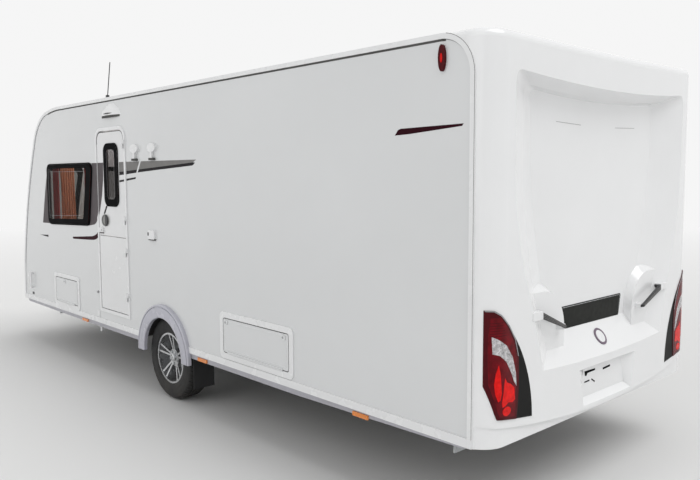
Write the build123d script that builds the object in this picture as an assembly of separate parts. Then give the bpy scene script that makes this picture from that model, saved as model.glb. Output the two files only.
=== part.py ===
from build123d import *
import math
import os

# Travel caravan, in millimetres.
# +Z is up and z = 0 is the ground. The drawbar points along -Y, the rear panel faces +Y.
# The entrance door is on the nearside wall, at +X. X = 0 is the middle of the body.

# Driving dimensions of the body
BODY_WIDTH = 2180
SHEET_SETBACK = 8
WALL = 30
FLOOR_THICK = 42
SIDE_BOTTOM = 435
ROOF_EDGE = 2376
ROOF_CROWN = 36
FRONT_Y = -2420
SIDE_LENGTH = 5980
REAR_CORNER_R = 200
FRONT_BOW = 100
RAIL_FOOT = 45
RAIL_EDGE = 26
SKIRT_DROP = 36
PANE_SEAM = 0.3
OVERCUT = 5

# Wheels and axle
AXLE_Y = 620
TYRE_R = 320
TYRE_WIDTH = 190
RIM_R = 196
WHEEL_INSET = 40
ARM_LENGTH = 150
TUBE_Z = 335
AXLE_TUBE_R = 46
ARCH_R = 372
SPAT_R = 392
SPAT_WIDTH = 104

# Chassis and drawbar
RAIL_X = 600
RAIL_DEPTH = 120
RAIL_FLANGE = 42
RAIL_PLATE = 4
DRAWBAR_REACH = 1207
COUPLING_Z = 430
BALL_R = 25.3

# Entrance door
DOOR_FRONT_Y = -510
DOOR_REAR_Y = 60
DOOR_BOTTOM = 548
DOOR_TOP = 2130
DOOR_CORNER_R = 105
DOOR_SPLIT = 1215
DOOR_FRAME = 27
DOOR_GAP = 6

# Rear moulding
COLUMN_DEPTH = 80
REAR_BOW = 32
REAR_PLAN_R = 140
CAP_LENGTH = 260
REAR_TOP_LIFT = 8
REAR_TOP_SAG = 26
REAR_TOP_R = 44

HALF = BODY_WIDTH / 2
SHEET_X = HALF - SHEET_SETBACK
LINING_X = SHEET_X - WALL
REAR_RAIL_Y = FRONT_Y + SIDE_LENGTH
FLOOR_TOP = SIDE_BOTTOM + FLOOR_THICK
CAP_START_Y = REAR_RAIL_Y - CAP_LENGTH
REAR_FACE_Y = REAR_RAIL_Y + COLUMN_DEPTH
REAR_END_Y = REAR_FACE_Y + REAR_BOW
WHEEL_OUTER_X = HALF - WHEEL_INSET
TUBE_Y = AXLE_Y - ARM_LENGTH
ABOVE_ROOF = ROOF_EDGE + 2 * ROOF_CROWN
SIDES = {"nearside": 1, "offside": -1}

parts = {}


def block(x0, x1, y0, y1, z0, z1):
    size = (x1 - x0, y1 - y0, z1 - z0)
    return Pos((x0 + x1) / 2, (y0 + y1) / 2, (z0 + z1) / 2) * Box(*size)


def across(sketch, x0, x1):
    """A (y, z) outline, pushed from x0 to x1."""
    return extrude(Plane.YZ.offset(x0) * sketch, amount=x1 - x0)


def lengthwise(sketch, y0, y1):
    """An (x, z) outline, pushed from y0 to y1."""
    return extrude(Plane.XZ.offset(-y1) * sketch, amount=y1 - y0)


def upward(sketch, z0, z1):
    """An (x, y) outline, pushed from z0 to z1."""
    return extrude(Plane.XY.offset(z0) * sketch, amount=z1 - z0)


def rod(start, end, radius):
    start = Vector(*start)
    end = Vector(*end)
    span = end - start
    return Plane(origin=start, z_dir=span) * Cylinder(
        radius, span.length, align=(Align.CENTER, Align.CENTER, Align.MIN)
    )


def rounded(u0, u1, v0, v1, radius):
    """A rounded rectangle between two corners."""
    return Pos((u0 + u1) / 2, (v0 + v1) / 2) * RectangleRounded(u1 - u0, v1 - v0, radius)


def both_sides(shape):
    return [shape, mirror(shape, about=Plane.YZ)]


def largest(shape):
    return shape.solids().sort_by(SortBy.VOLUME)[-1]


def one(shapes):
    """Solids that belong to one node."""
    solids = []
    for shape in shapes:
        solids += shape.solids()
    if len(solids) == 1:
        return solids[0]
    return Compound(children=solids)


def side_x(side, x0, x1):
    """The two X limits of a layer on one side, lowest first."""
    limits = (side * x0, side * x1)
    return min(limits), max(limits)


# Side outline of the body: the front rakes back and curls into the roof.
# Columns: y behind the front foot, drop below the roof edge, inward y, inward z
FRONT_CURVE = [
    (0, ROOF_EDGE - SIDE_BOTTOM, 1.00, 0.00),
    (17, 1561, 0.99, -0.14),
    (252, 708, 0.95, -0.31),
    (417, 344, 0.87, -0.49),
    (545, 154, 0.68, -0.73),
    (803, 29, 0.22, -0.97),
    (985, 5, 0.09, -1.00),
    (1174, 0, 0.00, -1.00),
]
# How much of the bow in plan each of those points takes
BOW_SHARE = [1.00, 1.00, 0.90, 0.75, 0.55, 0.25, 0.10, 0.00]
ROOF_START_Y = FRONT_Y + FRONT_CURVE[-1][0]


def front_points(bow, crown, inset):
    points = []
    for (dy, drop, in_y, in_z), share in zip(FRONT_CURVE, BOW_SHARE):
        lift = crown * (1 - share) - drop
        points.append((FRONT_Y + dy - bow * share + in_y * inset, ROOF_EDGE + lift + in_z * inset))
    return points


def front_edges(points):
    """Line, then three arcs, from the front foot to the start of the roof."""
    return [
        Line(points[0], points[1]),
        ThreePointArc(points[1], points[2], points[3]),
        ThreePointArc(points[3], points[4], points[5]),
        ThreePointArc(points[5], points[6], points[7]),
    ]


def side_outline(inset=0.0, foot_inset=None):
    """The side panel's outline in (y, z), drawn in by an inset, or by another one at its foot."""
    front = front_points(0, 0, inset)
    rear = REAR_RAIL_Y - inset
    top = ROOF_EDGE - inset
    bottom = SIDE_BOTTOM + (inset if foot_inset is None else foot_inset)
    radius = REAR_CORNER_R - inset
    foot = (front[0][0], bottom)
    edges = front_edges([foot] + front[1:])
    edges += [
        Line(front[7], (rear - radius, top)),
        RadiusArc((rear - radius, top), (rear, top - radius), radius),
        Line((rear, top - radius), (rear, bottom)),
        Line((rear, bottom), foot),
    ]
    return make_face(edges)


# Windows in the side walls, in (y, z). Columns: name, y0, y1, z0, z1, how far the rear edge leans
# forward at its foot, how far the foot rises to the rear
SIDE_WINDOWS = {
    "nearside": [("front", FRONT_Y + 780, FRONT_Y + 1834, 1262, 1838, 100, 28)],
    "offside": [
        ("front", FRONT_Y + 780, FRONT_Y + 1834, 1262, 1838, 100, 28),
        ("kitchen", AXLE_Y - 950, AXLE_Y - 50, 1290, 1800, 0, 0),
        ("rear", REAR_RAIL_Y - 1800, REAR_RAIL_Y - 1060, 1330, 1800, 0, 0),
    ],
}
WINDOW_LAP = 16
WINDOW_BULGE = 14
WINDOW_R = 62
PLUG_RECESS = 6


def window_outline(y0, y1, z0, z1, lean, foot_rise, grow=0.0):
    corners = [
        (y0 - grow, z1 + grow),
        (y1 + grow, z1 + grow),
        (y1 - lean + grow, z0 + foot_rise - grow),
        (y0 - grow, z0 - grow),
    ]
    face = make_face(Polyline(*corners, close=True))
    return fillet(face.vertices(), WINDOW_R + grow)


def door_outline(grow, z0, z1, top_r):
    """The doorway drawn out or in, with rounded upper corners only."""
    face = Pos((DOOR_FRONT_Y + DOOR_REAR_Y) / 2, (z0 + z1) / 2) * Rectangle(
        DOOR_REAR_Y - DOOR_FRONT_Y + 2 * grow, z1 - z0
    )
    if top_r > 0:
        upper = face.vertices().sort_by(Axis.Y)[-2:]
        face = fillet(upper, top_r)
    return face


# Hatches in the side walls. Columns: name, side, y0, y1, z0, z1
HATCHES = [
    ("hatch_small", "nearside", FRONT_Y + 890, FRONT_Y + 1416, 516, 753),
    ("hatch_large", "nearside", AXLE_Y + 835, AXLE_Y + 1560, 525, 766),
    ("hatch_cassette", "offside", REAR_RAIL_Y - 1000, REAR_RAIL_Y - 580, 520, 900),
]
HATCH_FRAME = 40
HATCH_PROUD = 8
HATCH_R = 20
HATCH_GAP = 6
LID_THICK = 26
HINGE_PIN_R = 4.5
HINGE_MARGIN = 60
HATCH_HINGE_X = SHEET_X + HATCH_PROUD + 5
HATCH_HINGE_RISE = 2


def wall(side_name):
    side = SIDES[side_name]
    low, high = side_x(side, LINING_X, SHEET_X)
    cut = (low - OVERCUT, high + OVERCUT)
    panel = across(side_outline(), low, high)
    panel -= Pos(0, AXLE_Y, TYRE_R) * Rot(0, 90, 0) * Cylinder(ARCH_R, 3 * BODY_WIDTH)
    for window in SIDE_WINDOWS[side_name]:
        panel -= across(window_outline(*window[1:], -WINDOW_LAP), *cut)
    for name, hatch_side, y0, y1, z0, z1 in HATCHES:
        if hatch_side == side_name:
            panel -= across(rounded(y0, y1, z0, z1, HATCH_R), *cut)
    if side_name == "nearside":
        panel -= across(door_outline(0, DOOR_BOTTOM, DOOR_TOP, DOOR_CORNER_R), *cut)
    return panel


for side_name in SIDES:
    parts["wall_" + side_name] = wall(side_name)


# Roof
def crown_line(z, x0, rise):
    return ThreePointArc((-x0, z), (0, z + rise), (x0, z))


def crown_band(z_edge, x0, thickness):
    """A band in (x, z) that rises to the middle of the roof."""
    top = crown_line(z_edge, x0, ROOF_CROWN)
    bottom = crown_line(z_edge - thickness, x0, ROOF_CROWN)
    ends = [Line(top @ 0, bottom @ 0), Line(top @ 1, bottom @ 1)]
    return make_face([top, bottom] + ends)


# Rooflights. Columns: name, y centre, length, width, height
ROOFLIGHTS = [
    ("front", FRONT_Y + 1660, 700, 500, 90),
    ("middle", AXLE_Y + 280, 400, 400, 80),
    ("rear", REAR_RAIL_Y - 860, 400, 400, 80),
]


def rooflight_box(y, length, width, grow, z0, z1):
    """A box round a rooflight's opening, drawn out or in."""
    half_x = width / 2 + grow
    half_y = length / 2 + grow
    return block(-half_x, half_x, y - half_y, y + half_y, z0, z1)


roof = lengthwise(crown_band(ROOF_EDGE, LINING_X, WALL), ROOF_START_Y, CAP_START_Y)
for name, y, length, width, height in ROOFLIGHTS:
    roof -= rooflight_box(y, length, width, 0, ROOF_EDGE - 2 * WALL, ABOVE_ROOF)
parts["roof"] = roof


# Front moulding: a shell bowed in plan, with three windows and the gas locker's opening
BOW_SECTIONS = [(-1.0, 0.0), (-0.72, 0.62), (0.0, 1.0), (0.72, 0.62), (1.0, 0.0)]
FRONT_WINDOWS = [("middle", -440, 440), ("left", -950, -500), ("right", 500, 950)]
FRONT_WINDOW_Z = (1190, 1830)
FRONT_WINDOW_R = 70
LOCKER_HALF = 520
LOCKER_Z = (540, 900)
LOCKER_GAP = 5
LOCKER_R = 30
MASS_OVER = 20


def front_mass(inset, over):
    """Everything behind the front skin, drawn in by an inset and carried over its back and ends."""
    sections = []
    for across_share, bow_share in BOW_SECTIONS:
        x = across_share * (LINING_X + over)
        bow = FRONT_BOW * bow_share
        crown = ROOF_CROWN * (1 - across_share**2)
        points = front_points(bow, crown, inset)
        foot = (points[0][0], SIDE_BOTTOM - over)
        top = points[7]
        back_top = (top[0] + over, top[1])
        back_foot = (back_top[0], foot[1])
        edges = front_edges([foot] + points[1:])
        if over > 0:
            edges.append(Line(top, back_top))
        edges += [Line(back_top, back_foot), Line(back_foot, foot)]
        sections.append(Plane.YZ.offset(x) * make_face(edges))
    return loft(sections)


def front_hole(x0, x1, z0, z1, radius):
    return lengthwise(rounded(x0, x1, z0, z1, radius), FRONT_Y - 3 * FRONT_BOW, ROOF_START_Y - FRONT_BOW)


front_shell = front_mass(0, 0) - front_mass(WALL, MASS_OVER)
front_moulding = front_shell
front_panes = []
for name, x0, x1 in FRONT_WINDOWS:
    z0, z1 = FRONT_WINDOW_Z
    front_moulding -= front_hole(x0, x1, z0, z1, FRONT_WINDOW_R)
    pane_hole = front_hole(
        x0 + PANE_SEAM, x1 - PANE_SEAM, z0 + PANE_SEAM, z1 - PANE_SEAM, FRONT_WINDOW_R
    )
    front_panes.append(front_shell & pane_hole)
front_moulding -= front_hole(-LOCKER_HALF, LOCKER_HALF, *LOCKER_Z, LOCKER_R)
locker_lid = front_shell & front_hole(
    -LOCKER_HALF + LOCKER_GAP,
    LOCKER_HALF - LOCKER_GAP,
    LOCKER_Z[0] + LOCKER_GAP,
    LOCKER_Z[1] - LOCKER_GAP,
    LOCKER_R - LOCKER_GAP,
)

# Its hinges: cranked straps on the lid, and knuckles that stand out from the skin above it
LID_HINGE_Y = FRONT_Y - FRONT_BOW - 6
LID_HINGE_Z = LOCKER_Z[1] + 2
LID_PIN_R = 6.5
LID_KNUCKLE = 30
LID_KNUCKLE_X = 300
LID_STRAP = 12
SKIN_REACH = 50
for way in SIDES.values():
    low, high = side_x(way, LID_KNUCKLE_X, LID_KNUCKLE_X + LID_KNUCKLE)
    front_line = LID_HINGE_Y - LID_PIN_R
    locker_lid += rod((low, LID_HINGE_Y, LID_HINGE_Z), (high, LID_HINGE_Y, LID_HINGE_Z), LID_PIN_R)
    locker_lid += block(low, high, front_line, front_line + LID_STRAP, LID_HINGE_Z - 36, LID_HINGE_Z)
    strap_foot = block(low, high, front_line, LID_HINGE_Y + SKIN_REACH, LID_HINGE_Z - 36, LID_HINGE_Z - 24)
    locker_lid += strap_foot
    low, high = side_x(way, LID_KNUCKLE_X + LID_KNUCKLE + 2, LID_KNUCKLE_X + 2 * LID_KNUCKLE + 2)
    front_moulding += rod((low, LID_HINGE_Y, LID_HINGE_Z), (high, LID_HINGE_Y, LID_HINGE_Z), LID_PIN_R)
    front_moulding += block(
        low, high, LID_HINGE_Y, LID_HINGE_Y + SKIN_REACH, LID_HINGE_Z, LID_HINGE_Z + LID_STRAP
    )
behind_skin = front_mass(WALL, MASS_OVER)
parts["front_moulding"] = front_moulding - behind_skin
parts["locker_lid"] = locker_lid - behind_skin


# Rear moulding: columns at the corners, a brow over a sunk panel, a ramp down to the bumper
def cap_plan(grow, bow=REAR_BOW):
    """The moulding's plan: round corners and a face that bows out to the middle."""
    rear = REAR_FACE_Y + grow
    side = HALF + grow
    edges = [
        ThreePointArc((-side, rear), (0, rear + bow), (side, rear)),
        Line((side, rear), (side, CAP_START_Y)),
        Line((side, CAP_START_Y), (-side, CAP_START_Y)),
        Line((-side, CAP_START_Y), (-side, rear)),
    ]
    face = make_face(edges)
    corners = face.vertices().sort_by(Axis.Y)[-2:]
    return fillet(corners, REAR_PLAN_R + grow)


def crown_limit(grow, half):
    """Everything below the roof line, whose crown turns into a sag towards the rear."""
    low = SIDE_BOTTOM - 100
    sections = []
    stations = [(CAP_START_Y, 0, ROOF_CROWN), (REAR_END_Y, REAR_TOP_LIFT, -REAR_TOP_SAG)]
    for y, lift, rise in stations:
        top = crown_line(ROOF_EDGE + lift + grow, half, rise)
        edges = [top, Line(top @ 1, (half, low)), Line((half, low), (-half, low)), Line((-half, low), top @ 0)]
        sections.append(Plane.XZ.offset(-y) * make_face(edges))
    return loft(sections, ruled=True)


# The sunk panel's outline at three depths, in from the body's side, in (inset, z).
# Columns: depth from the panel, middle of the top, corner, end of the straight, bend, end of the bend, foot
RECESS_TOP_R = 50
RAMP_FOOT_Z = 894
RECESS = [
    (0, 2111, (430, 2140), (445, 1850), (480, 1540), (545, 1240), (650, RAMP_FOOT_Z)),
    (30, 2125, (340, 2155), (350, 1850), (370, 1540), (435, 1200), (590, RAMP_FOOT_Z - 43)),
    (140, 2176, (62, 2247), (65, 1850), (99, 1467), (277, 1041), (362, RAMP_FOOT_Z - 202)),
]


def recess(extra):
    """The sunk middle of the rear panel; extra thickens it towards the cabin."""
    sections = []
    for depth, middle_z, corner, straight, bend, bend_end, foot in RECESS:
        rows = []
        for inset, z in (corner, straight, bend, bend_end, foot):
            rows.append((HALF - inset + extra, z))
        rows[0] = (rows[0][0], rows[0][1] + extra)
        rows[4] = (rows[4][0], rows[4][1] - extra)
        left = [(-x, z) for x, z in rows]
        edges = [
            ThreePointArc(left[0], (0, middle_z + extra), rows[0]),
            Line(rows[0], rows[1]),
            ThreePointArc(rows[1], rows[2], rows[3]),
            Line(rows[3], rows[4]),
            Line(rows[4], left[4]),
            Line(left[4], left[3]),
            ThreePointArc(left[3], left[2], left[1]),
            Line(left[1], left[0]),
        ]
        face = make_face(edges)
        face = fillet(face.vertices().sort_by(Axis.Y)[-2:], RECESS_TOP_R)
        sections.append(Plane.XZ.offset(-(REAR_RAIL_Y + depth - extra)) * face)
    return loft(sections, ruled=True)


# Quarter-round bosses that carry the grab handles. Columns: depth, side x, start of the round,
# middle of the round, end of the round
BOSS_FACE = 50
BOSS_REACH = 300
BOSS_SECTIONS = [
    (-OVERCUT, 718, (718, 960), (640, 1115), (490, 1186)),
    (BOSS_FACE, 714, (714, 940), (645, 1080), (505, 1132)),
]


def boss():
    sections = []
    for depth, side_inset, start, middle, end in BOSS_SECTIONS:
        corners = [(HALF - inset, z) for inset, z in (start, middle, end)]
        side = HALF - side_inset
        outer = HALF - BOSS_REACH
        low = RAMP_FOOT_Z - 150
        edges = [
            Line((side, low), corners[0]),
            ThreePointArc(*corners),
            Line(corners[2], (outer, corners[2][1])),
            Line((outer, corners[2][1]), (outer, low)),
            Line((outer, low), (side, low)),
        ]
        sections.append(Plane.XZ.offset(-(REAR_RAIL_Y + depth)) * make_face(edges))
    return loft(sections, ruled=True)


outer_block = upward(cap_plan(0), SIDE_BOTTOM, ABOVE_ROOF) & crown_limit(0, HALF + 1)
top_edges = outer_block.edges().filter_by(
    lambda e: e.center().Z > ROOF_EDGE - 2 * REAR_TOP_SAG and e.center().Y > CAP_START_Y + 1
)
rear = fillet(top_edges, REAR_TOP_R)
rear -= recess(0)
for piece in both_sides(boss()):
    rear += piece

# The number plate's seat: a recess whose side walls and sill slope out to the face.
# Columns: depth from the middle of the face, half width at the foot and at the top, foot z, top z
PLATE_DEPTH = 38
PLATE_RECESS = [
    (PLATE_DEPTH, 247, 205, 513, 668),
    (-PLATE_DEPTH, 277, 439, 453, 712),
]
PLATE_SEAT_Y = REAR_END_Y - PLATE_DEPTH
PLATE_SEAT_HALF = PLATE_RECESS[0][1] + 3 * WALL
plate_sections = []
for depth, foot_half, top_half, foot_z, top_z in PLATE_RECESS:
    corners = [(-foot_half, foot_z), (foot_half, foot_z), (top_half, top_z), (-top_half, top_z)]
    plate_sections.append(Plane.XZ.offset(depth - REAR_END_Y) * make_face(Polyline(*corners, close=True)))
rear -= loft(plate_sections, ruled=True)

# Under a crease that dips to the middle, the bumper tucks in
CREASE_Z = (458, 550)
TUCK = 26
crease = ThreePointArc((-HALF - 10, CREASE_Z[1]), (0, CREASE_Z[0]), (HALF + 10, CREASE_Z[1]))
below = SIDE_BOTTOM - 20
crease_face = make_face(
    [
        crease,
        Line((HALF + 10, CREASE_Z[1]), (HALF + 10, below)),
        Line((HALF + 10, below), (-HALF - 10, below)),
        Line((-HALF - 10, below), (-HALF - 10, CREASE_Z[1])),
    ]
)
tuck = upward(cap_plan(10), below, CREASE_Z[1] + 10) - upward(
    cap_plan(0, REAR_BOW - TUCK), below - 1, CREASE_Z[1] + 11
)
rear -= tuck & lengthwise(crease_face, REAR_FACE_Y - REAR_PLAN_R / 2, REAR_END_Y + 50)

hollow = upward(cap_plan(-WALL), SIDE_BOTTOM + WALL, ABOVE_ROOF) & crown_limit(-WALL, LINING_X)
hollow += block(
    -LINING_X, LINING_X, CAP_START_Y - OVERCUT, REAR_RAIL_Y - WALL - 1, SIDE_BOTTOM - OVERCUT, SIDE_BOTTOM + 2 * WALL
)
hollow -= recess(WALL)
hollow -= block(
    -PLATE_SEAT_HALF, PLATE_SEAT_HALF, PLATE_SEAT_Y - WALL, REAR_END_Y, SIDE_BOTTOM, PLATE_RECESS[0][4] + 2 * WALL
)
hollow -= lengthwise(crease_face, REAR_FACE_Y - WALL - TUCK, REAR_END_Y)
rear -= hollow
for side in SIDES.values():
    low, high = side_x(side, LINING_X, HALF + OVERCUT)
    rear -= across(side_outline(), low, high)

# Tail lamps on the corner columns, each with a dark infill beside it, in (inset, z)
LAMP_DEPTH = 24
LAMP_PROUD = 5
INFILL_PROUD = 2
LAMP_Z = (500, 1130)


def column_point(inset, z):
    return HALF - inset, z


def corner_skin(outline, low, high):
    """A layer of the columns' surface, cut to an (x, z) outline on the nearside."""
    z0, z1 = LAMP_Z
    skin = upward(cap_plan(high), z0, z1) - upward(cap_plan(low), z0 - 1, z1 + 1)
    return skin & lengthwise(outline, REAR_RAIL_Y + 1, REAR_END_Y + 50)


lamp_top = column_point(33, 1097)
lamp_crown = column_point(69, 1095)
lamp_shoulder = column_point(233, 861)
lamp_foot = column_point(223, 556)
lamp_low = column_point(78, 602)
lamp_side = column_point(33, 739)
lamp_outline = make_face(
    [
        Line(lamp_top, lamp_crown),
        ThreePointArc(lamp_crown, column_point(161, 1016), lamp_shoulder),
        ThreePointArc(lamp_shoulder, column_point(237, 710), lamp_foot),
        Line(lamp_foot, column_point(89, 575)),
        Line(column_point(89, 575), lamp_low),
        Line(lamp_low, lamp_side),
        Line(lamp_side, lamp_top),
    ]
)
infill_top = column_point(187, 982)
infill_foot = column_point(352, 541)
infill_outline = make_face(
    [
        ThreePointArc(infill_top, column_point(295, 806), infill_foot),
        Line(infill_foot, lamp_foot),
        ThreePointArc(lamp_foot, column_point(237, 710), lamp_shoulder),
        ThreePointArc(lamp_shoulder, column_point(214, 925), infill_top),
    ]
)
lamp_seat = corner_skin(lamp_outline, -LAMP_DEPTH, 60)
infill_seat = corner_skin(infill_outline, -LAMP_DEPTH, 60)
for seat in both_sides(lamp_seat) + both_sides(infill_seat):
    rear -= seat
tail_lamp = corner_skin(lamp_outline, -LAMP_DEPTH, LAMP_PROUD) - infill_seat
infill = corner_skin(infill_outline, -LAMP_DEPTH, INFILL_PROUD) - lamp_seat
parts["rear_moulding"] = rear
red_lamps = both_sides(largest(tail_lamp - rear))
parts["tail_lamp_infills"] = one(both_sides(largest(infill - rear)))

# Grab handles on the bosses: a bar that grows towards the column, on two feet, in (inset, z)
GRIP_INNER = (660, 937)
GRIP_OUTER = (428, 1030)
GRIP_STAND = 42
GRIP_THICK = 14
GRIP_HEIGHTS = (14, 30)
grip_y = REAR_RAIL_Y + BOSS_FACE + GRIP_STAND
inner = Vector(HALF - GRIP_INNER[0], grip_y, GRIP_INNER[1])
outer = Vector(HALF - GRIP_OUTER[0], grip_y, GRIP_OUTER[1])
grip_sections = []
for origin, height in zip((inner, outer), GRIP_HEIGHTS):
    grip_sections.append(Plane(origin=origin, x_dir=(0, 1, 0), z_dir=outer - inner) * Rectangle(GRIP_THICK, height))
grip = loft(grip_sections, ruled=True)
for point, radius in ((inner, 8), (outer, 14)):
    grip += rod(point, (point.X, REAR_RAIL_Y + BOSS_FACE, point.Z), radius)
grip = largest(grip - rear)
parts["grab_handles"] = one(both_sides(grip))


# Floor, side rails, skirts, spats and wheel boxes
WHEEL_BOX_X = WHEEL_OUTER_X - TYRE_WIDTH - 60
WHEEL_BOX_SHEET = 6
WHEEL_BOX_R = ARCH_R + WHEEL_BOX_SHEET
SPAT_Z = 352
SPAT_PROUD = 22
SPAT_GROOVE = 7
SPAT_BAND = 15
FLOOR_REAR_Y = REAR_RAIL_Y - WALL - 1


def wheel_cylinder(radius, x0, x1, z=TYRE_R):
    middle = Pos((x0 + x1) / 2, AXLE_Y, z)
    return middle * Rot(0, 90, 0) * Cylinder(radius, abs(x1 - x0))


floor = block(-LINING_X, LINING_X, ROOF_START_Y, FLOOR_REAR_Y, SIDE_BOTTOM, FLOOR_TOP)
floor_nose = block(-LINING_X, LINING_X, FRONT_Y - 2 * FRONT_BOW, ROOF_START_Y, SIDE_BOTTOM, FLOOR_TOP)
floor += floor_nose & behind_skin
wheel_boxes = []
for side in SIDES.values():
    low, high = side_x(side, WHEEL_BOX_X, LINING_X)
    floor -= wheel_cylinder(WHEEL_BOX_R, low, high)
    shell = wheel_cylinder(WHEEL_BOX_R, low, high)
    in_low, in_high = side_x(side, WHEEL_BOX_X + WHEEL_BOX_SHEET, LINING_X + OVERCUT)
    shell -= wheel_cylinder(ARCH_R, in_low, in_high)
    reach = 2 * ARCH_R
    shell &= block(-BODY_WIDTH, BODY_WIDTH, AXLE_Y - reach, AXLE_Y + reach, SIDE_BOTTOM, SIDE_BOTTOM + reach)
    wheel_boxes.append(shell)
parts["floor"] = floor
parts["wheel_boxes"] = one(wheel_boxes)

spat_cut = wheel_cylinder(SPAT_R, -BODY_WIDTH, BODY_WIDTH, SPAT_Z)
rail = across(side_outline() - side_outline(RAIL_EDGE, RAIL_FOOT), SHEET_X, HALF) - spat_cut
parts["side_rails"] = one(both_sides(rail))

SKIRT_X = (SHEET_X - 26, SHEET_X - 4)
SKIRT_LOW = SIDE_BOTTOM - SKIRT_DROP
skirt_face = make_face(
    Polyline(
        (FRONT_Y + 60, SIDE_BOTTOM),
        (FRONT_Y + 90, SKIRT_LOW + 6),
        (AXLE_Y - 900, SKIRT_LOW - 4),
        (AXLE_Y + 1600, SKIRT_LOW - 2),
        (REAR_RAIL_Y - 60, SIDE_BOTTOM - 14),
        (REAR_RAIL_Y - 30, SIDE_BOTTOM),
        close=True,
    )
)
skirt = across(skirt_face, *SKIRT_X) - wheel_cylinder(SPAT_R - 12, -BODY_WIDTH, BODY_WIDTH)

# Amber side markers along the skirt. Columns: y centre
MARKER_Y = (FRONT_Y + 1557, AXLE_Y + 549, REAR_RAIL_Y - 759)
MARKER_LENGTH = 120
MARKER_Z = (400, 424)
MARKER_PROUD = 10
markers = []
for y in MARKER_Y:
    markers += both_sides(
        block(SKIRT_X[1], SKIRT_X[1] + MARKER_PROUD, y - MARKER_LENGTH / 2, y + MARKER_LENGTH / 2, *MARKER_Z)
    )
parts["side_skirts"] = one(both_sides(skirt))
parts["side_markers"] = one(markers)

spat_x = HALF + SPAT_PROUD
spat = wheel_cylinder(SPAT_R, SHEET_X, spat_x, SPAT_Z)
spat -= wheel_cylinder(SPAT_R - SPAT_WIDTH, SHEET_X - OVERCUT, spat_x + OVERCUT, SPAT_Z)
groove = wheel_cylinder(SPAT_R - SPAT_BAND, spat_x - SPAT_GROOVE, spat_x + OVERCUT, SPAT_Z)
groove -= wheel_cylinder(SPAT_R - SPAT_BAND - SPAT_GROOVE, spat_x - 2 * SPAT_GROOVE, spat_x + 2 * OVERCUT, SPAT_Z)
spat &= block(0, BODY_WIDTH, AXLE_Y - 2 * SPAT_R, AXLE_Y + 2 * SPAT_R, SPAT_Z - 8, SPAT_Z + 2 * SPAT_R)
spat_rim = spat.edges().filter_by(GeomType.CIRCLE).filter_by(lambda e: e.center().X > HALF)
spat = fillet(spat_rim, 9) - groove
parts["arch_spats"] = one(both_sides(spat))


# Side glazing: an outer pane that laps the wall, on a plug that fills the opening
def side_pane(side, outline):
    """The pane of one window; outline holds the window's sizes, as in SIDE_WINDOWS."""
    lap_low, lap_high = side_x(side, SHEET_X, SHEET_X + WINDOW_BULGE)
    plug_low, plug_high = side_x(side, LINING_X + PLUG_RECESS, SHEET_X)
    outer_pane = across(window_outline(*outline), lap_low, lap_high)
    front_face = outer_pane.faces().sort_by(Axis.X)[-1 if side > 0 else 0]
    outer_pane = fillet(front_face.edges(), WINDOW_BULGE / 2)
    plug = across(window_outline(*outline, -WINDOW_LAP), plug_low, plug_high)
    return outer_pane + plug


panes = list(front_panes)
for side_name, windows in SIDE_WINDOWS.items():
    for window in windows:
        panes.append(side_pane(SIDES[side_name], window[1:]))
parts["windows"] = one(panes)


# Entrance door: a frame and two leaves that open outwards on their rear edge
LEAF_X = (SHEET_X - 32, SHEET_X + 4)
DOOR_HINGE_X = HALF + 10
DOOR_HINGE_Y = DOOR_REAR_Y - DOOR_FRAME + 2
KNUCKLE_R = 6.5
KNUCKLE = 34
KNUCKLE_Z = (110, 150)
DOOR_WINDOW = (DOOR_REAR_Y - 383, DOOR_REAR_Y - 150, DOOR_SPLIT + 273, DOOR_TOP - 152)
DOOR_WINDOW_R = 50
DOOR_WINDOW_LAP = 14
inner_top_r = DOOR_CORNER_R - DOOR_FRAME
door_frame = across(door_outline(0, DOOR_BOTTOM, DOOR_TOP, DOOR_CORNER_R), LINING_X, HALF)
door_frame -= across(
    door_outline(-DOOR_FRAME, DOOR_BOTTOM + DOOR_FRAME, DOOR_TOP - DOOR_FRAME, inner_top_r),
    LINING_X - OVERCUT,
    HALF + OVERCUT,
)
leaf_grow = -DOOR_FRAME - DOOR_GAP
leaf_low = DOOR_BOTTOM - leaf_grow
leaf_high = DOOR_TOP + leaf_grow
LEAVES = {
    "door_lower": (leaf_low, DOOR_SPLIT - DOOR_GAP / 2, 0),
    "door_upper": (DOOR_SPLIT + DOOR_GAP / 2, leaf_high, inner_top_r - DOOR_GAP),
}
for name, (z0, z1, top_r) in LEAVES.items():
    leaf = across(door_outline(leaf_grow, z0, z1, top_r), *LEAF_X)
    if name == "door_upper":
        leaf -= across(rounded(*DOOR_WINDOW, DOOR_WINDOW_R), LEAF_X[0] - OVERCUT, LEAF_X[1] + OVERCUT)
    for z in (z0 + KNUCKLE_Z[0], z1 - KNUCKLE_Z[1]):
        leaf += rod((DOOR_HINGE_X, DOOR_HINGE_Y, z), (DOOR_HINGE_X, DOOR_HINGE_Y, z + KNUCKLE), KNUCKLE_R)
        leaf += block(LEAF_X[1] - 4, DOOR_HINGE_X, DOOR_HINGE_Y - 22, DOOR_HINGE_Y - 8, z, z + KNUCKLE)
        leaf += block(DOOR_HINGE_X - 6, DOOR_HINGE_X, DOOR_HINGE_Y - 9, DOOR_HINGE_Y, z, z + KNUCKLE)
        low = z + KNUCKLE + 1
        high = low + KNUCKLE
        door_frame += rod((DOOR_HINGE_X, DOOR_HINGE_Y, low), (DOOR_HINGE_X, DOOR_HINGE_Y, high), KNUCKLE_R)
        door_frame += block(HALF - 4, DOOR_HINGE_X, DOOR_HINGE_Y, DOOR_HINGE_Y + 20, low, high)
    parts[name] = leaf
parts["door_frame"] = door_frame
wy0, wy1, wz0, wz1 = DOOR_WINDOW
lap = DOOR_WINDOW_LAP
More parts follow.
